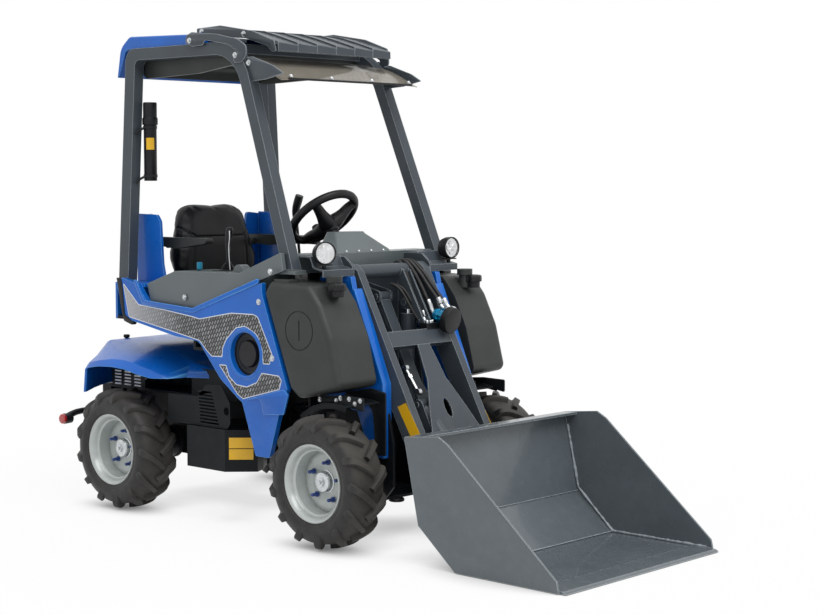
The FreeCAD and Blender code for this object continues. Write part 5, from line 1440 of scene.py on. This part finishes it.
@dataclass
class Mast:
    """What dresses the mast: hose fittings, the coupler's sleeve and elbows, the covers' front lips."""

    lip: tuple = ((-78, 1096), (-2, 925), (98, 690), (100, 366), (80, 366), (76, 684), (-26, 915),
                  (-99, 1084))
    hoses: tuple = (
        ((-206, 124, 1190), (-176, 126, 1213), (-120, 138, 1158), (-62, 150, 1056), (-28, 158, 985)),
        ((-206, 146, 1190), (-176, 148, 1214), (-114, 160, 1162), (-50, 176, 1072), (2, 190, 1008)),
        ((-206, 166, 1190), (-176, 170, 1214), (-110, 184, 1160), (-36, 200, 1064), (18, 206, 1006)),
        ((-206, 104, 1188), (-176, 104, 1208), (-134, 112, 1140), (-98, 120, 1030), (-30, 124, 938)))
    thin_hoses: tuple = (
        ((-150, 20, 1100), (-118, 34, 1092), (-82, 52, 1030), (-52, 72, 960), (-20, 84, 922)),
        ((-150, 46, 1096), (-116, 60, 1088), (-78, 76, 1026), (-50, 92, 960), (-20, 104, 924)))
    elbows: tuple = (
        (((-2, 191, 1003), (14, 196, 984), (34, 196, 990), (52, 196, 978)), 9, 1.25),
        (((14, 205, 1012), (34, 210, 986), (58, 212, 996), (80, 212, 972)), 9, 1.25),
        (((-34, 157, 1000), (-26, 159, 980), (-18, 162, 966), (-4, 166, 958)), 10, 1.2))
    crimps: tuple = ((-44, 153, 1016), (-12, 186, 1026), (6, 203, 1022), (-50, 122, 968), (-30, 84, 936),
                     (-30, 104, 938))
    ports: tuple = ((-8, 82), (14, 82), (-8, 104), (14, 104), (2, 128))
    upper_label: tuple = ((-176, 1112), (-150, 1104), (-104, 1020), (-112, 1012), (-130, 1022))
    lower_label: tuple = ((131, 590), (180, 612), (264, 483), (213, 460))

    def coupler(self) -> None:
        """Builds the coupler with its sleeve and block, and the hoses that hang down to it."""
        centre, way = at(-12, 168, 957), Vector((0.97, 0.08, -0.22)).normalized()
        sleeve = lathe("coupler_sleeve", ((0, 0), (0, 31), (3, 34), (14, 34), (16, 31), (60, 31), (62, 34),
                                          (78, 34), (78, 0)), centre, way, 48, 30)
        seat_on(sleeve, "boom_body", Stock.TEAL)
        drum = lathe("drum", ((66, 0), (66, 54), (70, 59), (96, 60), (102, 58), (104, 53), (103, 0)),
                     centre, way, 56, 30)
        block = plate("block", oblong(-22, 66, 30, 150, 5), 893, 928, 2, level=True)
        foot = plate("foot", oblong(-20, 140, 30, 232, 4), 903, 921, 2, level=True)
        hoses = [pipe("hose", route(*run), radius)
                 for runs, radius in ((self.hoses, 9), (self.thin_hoses, 7)) for run in runs]
        stand_in("coupler_and_hoses", coat((drum, block, foot), Stock.TRIM) + coat(hoses, Stock.HOSE),
                 "hose_coupler", "boom_body", "black_paint")

    def fittings(self) -> None:
        """Builds the elbows, the crimped ends of the hoses and the ports of the block."""
        parts = [pipe("elbow", route(*run), radius, (1.2, 1, 1, end)) for run, radius, end in self.elbows]
        parts += [lathe("crimp", ((0, 0), (0, 11), (3, 12), (26, 12), (29, 11), (29, 0)), at(x, y, z + 10),
                        Vector((0.42, 0.1, -0.9)), 16, 30) for x, y, z in self.crimps]
        parts += [lathe("port", ((0, 0), (0, 8), (10, 8), (12, 6), (12, 0)), at(x, y, 927), UP, 6, 20)
                  for x, y in self.ports]
        seat_on(join("hose_fittings", coat(parts, Stock.ZINC)), "boom_body")

    def link_rod(self) -> None:
        """Builds the short rod beside the mast, with an eye at each end and its nut."""
        rod = [pipe("rod", route((78, -125, 740), (112, -125, 695), (146, -125, 652)), 8, (1, 1.3, 1))]
        rod += [lathe("eye", ((-9, 0), (-9, radius), (9, radius), (9, 0)), at(x, -125, z), LEFT, 24, 30)
                for x, z, radius in ((74, 746, 15), (150, 646, 17))]
        rod.append(lathe("nut", ((0, 0), (0, 14), (14, 14), (14, 0)), at(98, -125, 714),
                         Vector((0.62, 0, -0.79)), 6, 20))
        seat_on(join("link_rod", coat(rod, Stock.ZINC)), "boom_body")

    def build(self) -> None:
        """Builds the lips, the hose work, the rod and the arms' bare plates."""
        for side, hand in SIDES:
            lip = plate("mast_lip_" + hand, self.lip, side * 238.5, side * 291, 3)
            seat_on(lip, "front_frame", Stock.BLUE, "blue_paint")
        self.coupler()
        self.fittings()
        self.link_rod()
        for name, outline in (("upper", self.upper_label), ("lower", self.lower_label)):
            for side, hand in SIDES:
                label = plate(f"arm_plate_{name}_{hand}", outline, side * 234.9, side * 235.8)
                seat_on(label, "boom_body", Stock.YELLOW)


@dataclass
class Hitch:
    """The tapered plate with a slot that covers the linkage between the arms."""

    start: Point = (-165, 0, 1163)
    end: Point = (345, 0, 220)
    lift: float = 47.0
    gauge: float = 6.0
    half_outline: tuple = ((392, 38), (560, 60), (700, 118), (838, 168))

    def build(self) -> None:
        """Builds the plate in front of the linkage."""
        start = Vector(self.start)
        along = (Vector(self.end) - start).normalized()
        out = Vector((-along.z, 0, along.x))

        def place(corner: Flat, face: int) -> Vector:
            """Gives a corner's place on the plate's back (0) or front (1)."""
            point = start + along * corner[0] + out * (self.lift + self.gauge * face)
            return at(point.x, corner[1], point.z)

        first, *rest = self.half_outline
        outer = [(first[0], -first[1]), first, *rest] + [(u, -y) for u, y in reversed(rest)]
        cover = pierced("boom_cover_plate", outer, [oval(700, 0, 46, 20)], place)
        seat_on(cover, "boom_body", Stock.GREY, "grey_paint")


@dataclass
class Bucket:
    """The bucket's weld beads, drawn along its seams."""

    step: float = 0.012
    seed: int = 7
    seam: float = 522.0

    def bead(self, points: Sequence[Vector], radius: float) -> Piece:
        """Makes an uneven weld bead along points."""
        dense: list[Vector] = []
        for a, b in zip(points, points[1:]):
            steps = max(2, int((b - a).length / self.step))
            dense += [a.lerp(b, k / steps) for k in range(steps)]
        dense.append(points[-1])
        noise = np.random.default_rng(self.seed)
        sizes = list(0.55 + 0.9 * noise.random(len(dense)))
        return painted(pipe("seam", dense, radius, sizes), Stock.WELD)

    def build(self) -> None:
        """Lays the beads inside the bucket."""
        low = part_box("bucket")[0].z / MM
        beads = [self.bead(route((472, y, 470), (536, y, 190), (728, y, low + 14), (1218, y, low + 13)), 5.5)
                 for y in (-self.seam, self.seam)]
        beads.append(self.bead(route((729, -520, low + 13), (729, 520, low + 13)), 2.4))
        beads.append(self.bead(route((536, -520, 176), (536, 520, 176)), 1.4))
        seat_on(join("bucket_welds", beads), "bucket_body")


@dataclass
class CabTrim:
    """The trim of the cab panels: a raised bead, a black rear edge, and screws."""

    bead: tuple = ((-1276, 1098, 10), (-1256, 1100, 10), (-1196, 1006, 20), (-850, 986, 16), (-402, 1140, 10),
                   (-402, 1118, 10), (-846, 966, 16), (-1206, 984, 20))
    edge: tuple = ((-1407, 1104, 4), (-1372, 1100, 4), (-1362, 1060, 8), (-1346, 930, 10), (-1280, 896, 8),
                   (-1290, 884, 8), (-1352, 900, 14), (-1372, 960, 14), (-1398, 1078, 10))
    facet: tuple = ((-510, 592, 6), (-238, 664, 8), (-214, 640, 6), (-244, 553, 6), (-372, 541, 4),
                    (-392, 612, 20))
    screws: tuple = ((-318, 555, 794), (-404, 555, 1036), (-930, 536, 1030), (-328, 556, 1172))

    def build(self) -> None:
        """Builds the trim of both panels."""
        for side, hand in SIDES:
            for name, corners, low, high, bevel, stock, slot in (
                    ("bead", self.bead, 553, 560, 4, Stock.BLUE, "blue_paint"),
                    ("edge", self.edge, 536, 558, 3, Stock.TRIM, "black_plastic"),
                    ("facet", self.facet, 552, 561, 5, Stock.BLUE, "blue_paint")):
                strip = plate(f"panel_{name}_{hand}", rounded(corners), side * low, side * high, bevel)
                seat_on(strip, "front_frame", stock, slot)
        screws = Fasteners("panel_screws", "front_frame", 10, Head.BUTTON)
        for place in self.screws:
            screws.both(*place)
        screws.build()


@dataclass
class Controls:
    """The joystick with its boot, the small teal knob and the round dial on the right console."""

    stick: Flat = (-800, -385)
    left: Flat = (-1120, 372)
    top: float = 1152.0
    folds: int = 5

    def boot(self, x: float, y: float) -> Piece:
        """Builds a lever's boot, folded like a bellows."""
        rings = [(0, 0), (0, 44), (4, 44)]
        for fold in range(self.folds):
            rings += [(6 + fold * 7, 38 - fold * 5), (9 + fold * 7, 30 - fold * 5)]
        return lathe("boot", rings + [(44, 11), (44, 0)], at(x, y, self.top), UP, 32, 40)

    def joystick(self) -> None:
        """Builds the joystick with its base, and the small lever behind it."""
        x, y = self.stick
        grip = pipe("grip", route((x, y, 1190), (x + 2, y, 1230), (x, y, 1275), (x + 8, y, 1315),
                                  (x + 14, y, 1345), (x + 14, y, 1352)), 15, (0.55, 0.6, 0.9, 1.15, 1.2, 0.9))
        lever = pipe("lever", route((-955, -430, 1146), (-955, -430, 1162), (-955, -430, 1180)), 6)
        base = plate("base", oblong(x - 60, y - 50, x + 60, y + 50, 10), 1150.5, 1154, 1, level=True)
        stand_in("joystick", coat((self.boot(x, y), grip, lever, base), Stock.TRIM), "control_levers",
                 "front_frame", "black_plastic")

    def left_lever(self) -> None:
        """Builds the tall lever on the left console, with its rest."""
        x, y = self.left
        grip = pipe("grip", route((x, y, 1190), (x - 4, y - 4, 1270), (x - 14, y - 12, 1360),
                                  (x - 10, y - 18, 1410), (x + 14, y - 22, 1460), (x + 26, y - 22, 1488)),
                    17, (0.4, 0.45, 0.7, 1.1, 1.3, 1.2))
        rest = pipe("rest", route((-1150, 352, 1262), (-1060, 352, 1268), (-966, 352, 1264)), 19, (0.9, 1, 1))
        whole = join("left_lever", coat((self.boot(x, y), grip, rest), Stock.TRIM))
        seat_on(whole, "front_frame", slot="black_plastic")

    def build(self) -> None:
        """Builds the controls in the place of their node, with the knob, the wire and the dial."""
        self.joystick()
        self.left_lever()
        knob = lathe("teal_knob", ((0, 0), (0, 9), (4, 13), (32, 13), (36, 11), (36, 0)),
                     at(-917, -455, 1154), UP, 24, 30)
        seat_on(knob, "front_frame", Stock.TEAL_KNOB)
        x, y = self.stick
        wire = pipe("grip_wire", route((x + 20, y - 8, 1345), (x + 34, y - 16, 1310), (x + 24, y - 18, 1250),
                                       (x + 34, y - 16, 1156)), 2.4)
        seat_on(wire, "front_frame", Stock.ZINC)
        dial = lathe("dial", ((-22, 0), (-22, 36), (22, 36), (22, 0)), at(-640, -440, self.top), LEFT, 40, 30)
        seat_on(dial, "front_frame", Stock.CONSOLE, "grey_paint")


@dataclass
class DocumentTube:
    """The document tube's cap, straps and bare plate."""

    x: float = -1351.0
    y: float = -388.0
    radius: float = 31.0
    strap_levels: tuple = (1580, 1812)
    label: tuple = (1712, 1768)

    def curved_label(self, centre: Vector) -> Piece:
        """Builds the bare plate, bent round the tube over eight steps of nine degrees."""
        steps, degrees = 8, 9
        verts, faces = [], []
        for k in range(steps + 1):
            a = math.radians(degrees * k - 75)
            verts += [centre + Vector((radius * math.cos(a), radius * math.sin(a), z)) * MM
                      for radius in (self.radius + 0.1, self.radius + 0.9) for z in self.label]
        for i in range(0, 4 * steps, 4):
            j = i + 4
            faces += [(i, j, j + 1, i + 1), (i + 2, i + 3, j + 3, j + 2), (i + 1, j + 1, j + 3, i + 3),
                      (i, i + 2, j + 2, j)]
        end = 4 * steps
        faces += [(0, 1, 3, 2), (end, end + 2, end + 3, end + 1)]
        return mesh_object("tube_plate", verts, faces, 40)

    def build(self) -> None:
        """Builds them round the tube."""
        x, y, r = self.x, self.y, self.radius
        centre = at(x, y, 0)
        parts = [lathe("tube", ((1563, 0), (1563, r - 2), (1566, r), (1830, r), (1830, r + 5), (1834, r + 6),
                                (1860, r + 6), (1864, r + 4), (1866, r + 2), (1932, r + 2), (1937, r),
                                (1937, 0)), centre, UP, 44, 30)]
        parts += [lathe("strap", ((z, r), (z, r + 2.5), (z + 14, r + 2.5), (z + 14, r), (z, r)), centre,
                        UP, 44) for z in self.strap_levels]
        parts += [pipe("arm", route((x, y - 24, z + 7), (x - 5, y - 42, z), (x - 15, y - 60, z - 12),
                                    (x - 21, y - 68, z - 30)), 6) for z in self.strap_levels]
        stand_in("document_tube_capped", coat(parts, Stock.TRIM), "document_tube", "front_frame",
                 "black_plastic")
        seat_on(self.curved_label(centre), "front_frame", Stock.YELLOW)


@dataclass
class RearTrim:
    """Plates and lamps of the rear frame: engine shields, a slotted guard, bare plates, red lenses."""

    shield: tuple = ((-1085, 442, 6), (-1085, 572, 6), (-876, 575, 10), (-812, 634, 12), (-708, 638, 14),
                     (-652, 562, 10), (-650, 470, 10), (-670, 442, 6))
    stations: tuple = (
        ((-1716, 0, 562), (-1714, 385, 562), (-1672, 490, 556), (-1616, 588, 545), (-1610, 608, 542)),
        ((-1718, 0, 748), (-1716, 384, 744), (-1670, 492, 694), (-1602, 590, 672), (-1594, 610, 655)),
        ((-1706, 0, 772), (-1702, 388, 768), (-1650, 492, 712), (-1582, 592, 688), (-1570, 611, 664)),
        ((-1680, 0, 781), (-1676, 390, 777), (-1600, 494, 730), (-1500, 592, 704), (-1490, 611, 676)),
        ((-1560, 0, 782), (-1540, 392, 778), (-1500, 488, 744), (-1410, 590, 716), (-1390, 611, 681)),
        ((-1400, 0, 784), (-1390, 392, 780), (-1390, 482, 748), (-1310, 588, 717), (-1290, 610, 676)),
        ((-1290, 0, 784), (-1285, 391, 780), (-1280, 474, 745), (-1215, 584, 700), (-1190, 606, 657)),
        ((-1230, 0, 775), (-1228, 390, 770), (-1220, 462, 735), (-1140, 568, 680), (-1118, 590, 645)),
        ((-1150, 0, 750), (-1148, 390, 745), (-1130, 446, 716), (-1070, 525, 664), (-1045, 548, 645)),
        ((-1047, 0, 716), (-1047, 390, 712), (-1045, 412, 698), (-1030, 440, 666), (-1024, 448, 645)),
        ((-900, 0, 690), (-900, 386, 688), (-900, 393, 682), (-900, 398, 664), (-900, 400, 645)))
    rear_wall: float = 9.0
    side_wall: float = 6.0
    roof_wall: float = 9.0
    slot_rows: int = 10
    shield_side: float = 506.0
    shield_gauge: float = 5.0

    def shield_holes(self) -> list[list[Flat]]:
        """Gives the outlines of a shield's pointed slots, one under another, and of its round hole."""
        slots = []
        for row in range(self.slot_rows):
            z, rear, front = 600 - row * 15.6, -868 + row * 1.5, -775 + row * 5.2
            slots.append([(rear, z - 4.5), (front, z - 4.5), (front + 4, z), (front, z + 4.5),
                          (rear, z + 4.5), (rear - 4, z)])
        return slots + [oval(-675, 523, 19, 19)]

    def shields(self) -> None:
        """Builds the slotted side panels and what stands behind them, in the place of their node."""
        parts = []
        for side, _ in SIDES:
            levels = (side * self.shield_side, side * (self.shield_side + self.shield_gauge))
            parts.append(pierced("shield", rounded(self.shield), self.shield_holes(),
                                 lambda corner, face: at(corner[0], levels[face], corner[1])))
            parts.append(plate("backing", oblong(-1040, 556, -720, 688), side * 401, side * 405))
        stand_in("slotted_shields", coat(parts, Stock.BLACK), "louvre_panels", "rear_frame", "black_paint")

    def hood(self) -> None:
        """Builds the hood in the place of its node: a folded top whose sides flow out into the fenders."""
        rings = []
        for number, half in enumerate(self.stations):
            ahead = self.rear_wall if number < 3 else 0
            outer = [at(x, -y, z) for x, y, z in reversed(half)] + [at(x, y, z) for x, y, z in half[1:]]
            inner = [(x + ahead, y - (self.side_wall + 1 if k == 4 else self.side_wall if k else 0),
                      z - (0 if k == 4 or number == 0 else self.roof_wall))
                     for k, (x, y, z) in enumerate(half)]
            inner = [at(x, y, z) for x, y, z in reversed(inner)] + [at(x, -y, z) for x, y, z in inner[1:]]
            rings.append(outer + inner)
        shell = loft("hood_shell", rings, 30)
        round_off(shell, 7, 3)
        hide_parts("hood")
        seat_on(shell, "rear_frame", Stock.BLUE, "blue_paint")

    def slots(self, name: str, side: int) -> Piece:
        """Builds white bars in rows on the slotted guard with Geometry Nodes: painted light for the bright
        room seen through its slots.
        """
        growth = Growth("slot_rows", {label: "Float" for label in ("Length", "Height", "Wide", "High")})
        tree, given = growth.tree, growth.given
        grid = add(tree, "GeometryNodeMeshGrid", {"Vertices X": 3, "Vertices Y": 5},
                   {"Size X": given["Wide"], "Size Y": given["High"]})
        bar = add(tree, "GeometryNodeMeshCylinder", {"Vertices": 8, "Radius": 0.5, "Depth": 1.0})
        size = add(tree, "ShaderNodeCombineXYZ", {},
                   {0: given["Height"], 1: given["Height"], 2: given["Length"]})
        shaped = add(tree, "GeometryNodeTransform", {"Rotation": (0, math.radians(90), 0)}, {
            "Geometry": bar.outputs[0], "Scale": size.outputs[0]})
        growth.set_out({"Points": grid.outputs[0], "Instance": shaped.outputs[0]})
        rows = mesh_object(name, [(0, 0, 0), (0.001, 0, 0), (0, 0.001, 0)], [(0, 1, 2)], None)
        grow(rows, tree, {"Length": 46 * MM, "Height": 8 * MM, "Wide": 150 * MM, "High": 62 * MM,
                          "Finish": finish(Stock.WHITE)})
        upright = Matrix.Rotation(math.radians(90), 4, "X")
        rows.data.transform(Matrix.Translation(at(-1436, side * 472, 612)) @ upright)
        return rows

    def box_plates(self, side: int, hand: str) -> None:
        """Builds two bare plates, one over the other, on the slanting front of a side box."""
        start, end = Vector((-665, side * 529, 0)), Vector((-561, side * 425, 0))
        way = (end - start).normalized()
        out = Vector((1, side, 0)).normalized()
        corners = [start + way * 18, start + way * 128]
        faces = [(0, 1, 3, 2), (4, 6, 7, 5), (0, 4, 5, 1), (2, 3, 7, 6), (0, 2, 6, 4), (1, 5, 7, 3)]
        for row, levels in enumerate(((306, 354), (358, 406))):
            verts = [at(p.x + out.x * d, p.y + out.y * d, z) for d in (-0.2, 1.0) for z in levels
                     for p in corners]
            label = mesh_object(f"box_plate_{row}_{hand}", verts, faces, 20)
            seat_on(label, "rear_frame", Stock.YELLOW)

    def build(self) -> None:
        """Builds the rear trim on both sides."""
        self.shields()
        self.hood()
        lamps = []
        for side, hand in SIDES:
            guard = plate("slotted_guard_" + hand, oblong(-1560, 575, -1310, 650, 8), side * 466,
                          side * 471, 1)
            seat_on(guard, "rear_frame", Stock.BLACK, "black_paint")
            # white bars on the guard: painted light seen through its slots
            seat_on(self.slots("guard_slots_painted_light_" + hand, side), "rear_frame")
            self.box_plates(side, hand)
            arm = pipe("arm", route((-1747, side * 382, 432), (-1747, side * 520, 432),
                                    (-1747, side * 585, 420), (-1748, side * 612, 404)), 15,
                       (1, 1, 1.05, 1.2))
            centre, axis = at(-1749, 0, 400), Vector((0, side, 0))
            drum = lathe("drum", ((580, 0), (580, 20), (584, 24), (622, 26), (624, 26), (624, 0)), centre,
                         axis, 36, 30)
            lamps += coat((arm, drum), Stock.TRIM)
            lens = lathe("red_lens_" + hand, ((624, 0), (624, 24), (636, 24), (640, 20), (641.5, 0)), centre,
                         axis, 36, 40)
            seat_on(lens, "rear_frame", Stock.RED)
        stand_in("marker_arms", lamps, "marker_lamps", "rear_frame", "black_plastic")
        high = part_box("hood")[1].z / MM
        knob = lathe("hood_knob", ((0, 0), (0, 8), (6, 10), (12, 16), (22, 16), (24, 12), (24, 0)),
                     at(-1690, -280, high - 12), UP, 24, 30)
        seat_on(knob, "rear_frame", Stock.TRIM, "black_plastic")


@dataclass
class FrontTrim:
    """The black arches over the front wheels with their bolted side plates, and small plates below."""

    axle: float = 290.0
    radius: float = 331.0
    steps: int = 16
    first: float = 76.0
    last: float = 128.0
    flank: tuple = ((-150, 600, 8), (-120, 640, 10), (30, 668, 10), (118, 655, 10), (118, 380, 8),
                    (60, 380, 8), (40, 590, 60), (-60, 612, 60))
    brace: tuple = ((-128, 606, 8), (-118, 640, 8), (20, 652, 10), (150, 650, 8), (150, 592, 8),
                    (60, 606, 60), (-40, 616, 60))

    def arch(self, side: int) -> Piece:
        """Builds the rolled sheet over a wheel, with its outer edge turned down."""
        outer = self.radius
        section = ((291, outer), (496, outer), (500, outer - 2), (500, outer - 26), (496, outer - 26),
                   (494, outer - 6), (291, outer - 6))
        rings = []
        for k in range(self.steps + 1):
            a = math.radians(self.first + (self.last - self.first) * k / self.steps)
            rings.append([at(r * math.cos(a), side * y, self.axle + r * math.sin(a)) for y, r in section])
        return loft("arch", rings, 40)

    def build(self) -> None:
        """Builds the arches in the place of their node."""
        parts = []
        for side, _ in SIDES:
            parts += [self.arch(side), plate("flank", rounded(self.flank), side * 292, side * 298, 1),
                      plate("brace", rounded(self.brace), side * 462, side * 467, 1)]
        stand_in("wheel_arches", coat(parts, Stock.BLACK), "inner_fenders", "front_frame", "black_paint")
        screws = Fasteners("arch_screws", "front_frame", 7, Head.HEX)
        for x, z in ((-112, 624), (-11, 626), (14, 640), (66, 640), (132, 638), (100, 622)):
            screws.both(x, 467, z)
        screws.build()
        pad = lathe("jack_pad", ((0, 0), (0, 30), (3, 34), (12, 34), (15, 30), (15, 0)), at(150, -262, 184),
                    UP, 40, 30)
        seat_on(pad, "front_frame", Stock.TRIM, "black_plastic")
        label = plate("chassis_plate", ((44, 256), (88, 262), (90, 204), (46, 196)), -258.6, -257.4)
        seat_on(label, "front_frame", Stock.YELLOW)


DRESS: dict[Stock, str] = {
    Stock.BLUE: "mast_fairings cab_panel_right cab_panel_left roof_cap hood rear_shroud",
    Stock.GREY: "boom_tower boom levelling_link tilt_carrier roll_over_frame lift_barrel tilt_barrel "
                "steer_barrel",
    Stock.CONSOLE: "consoles dash",
    Stock.BUCKET: "bucket hitch_frame",
    Stock.BLACK: "front_chassis rear_chassis front_wheel_motors rear_wheel_motors counterweight cab_floor "
                 "seat_base rear_grille side_boxes hose_coupler louvre_panels inner_fenders roof_guard",
    Stock.PLASTIC: "tank_right tank_left roof_liner armrests steering_column",
    Stock.TRIM: "document_tube air_intakes steering_wheel work_lamps control_levers marker_lamps",
    Stock.SILVER: "rim_front_right rim_front_left rim_rear_right rim_rear_left",
    Stock.IRON: "engine",
    Stock.CHROME: "lift_rod tilt_rod steer_rod",
    Stock.VISOR: "visor",
}


def dress_frame() -> None:
    """Gives every CAD node that stays its finish."""
    for stock, names in DRESS.items():
        for name in names.split():
            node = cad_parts[name]
            node.data.materials.clear()
            node.data.materials.append(finish(stock))
            LOG.info("node %s gets %s", name, stock.value.name)


def main() -> None:
    """Builds the whole machine in order."""
    logging.basicConfig(level=logging.INFO, format="%(name)s %(message)s")
    Studio().build()
    dress_frame()
    tyre = Tyre()
    for place in WHEELS:
        tyre.build("tyre_" + place, "wheel_" + place)
    for kind in (Rims, Seat, Decals, SteeringWheel, Cowl, Lamps, Tanks, RoofGuard, Mast, Hitch, Bucket,
                 CabTrim, Controls, DocumentTube, RearTrim, FrontTrim):
        kind().build()


if __name__ == "__main__":
    main()
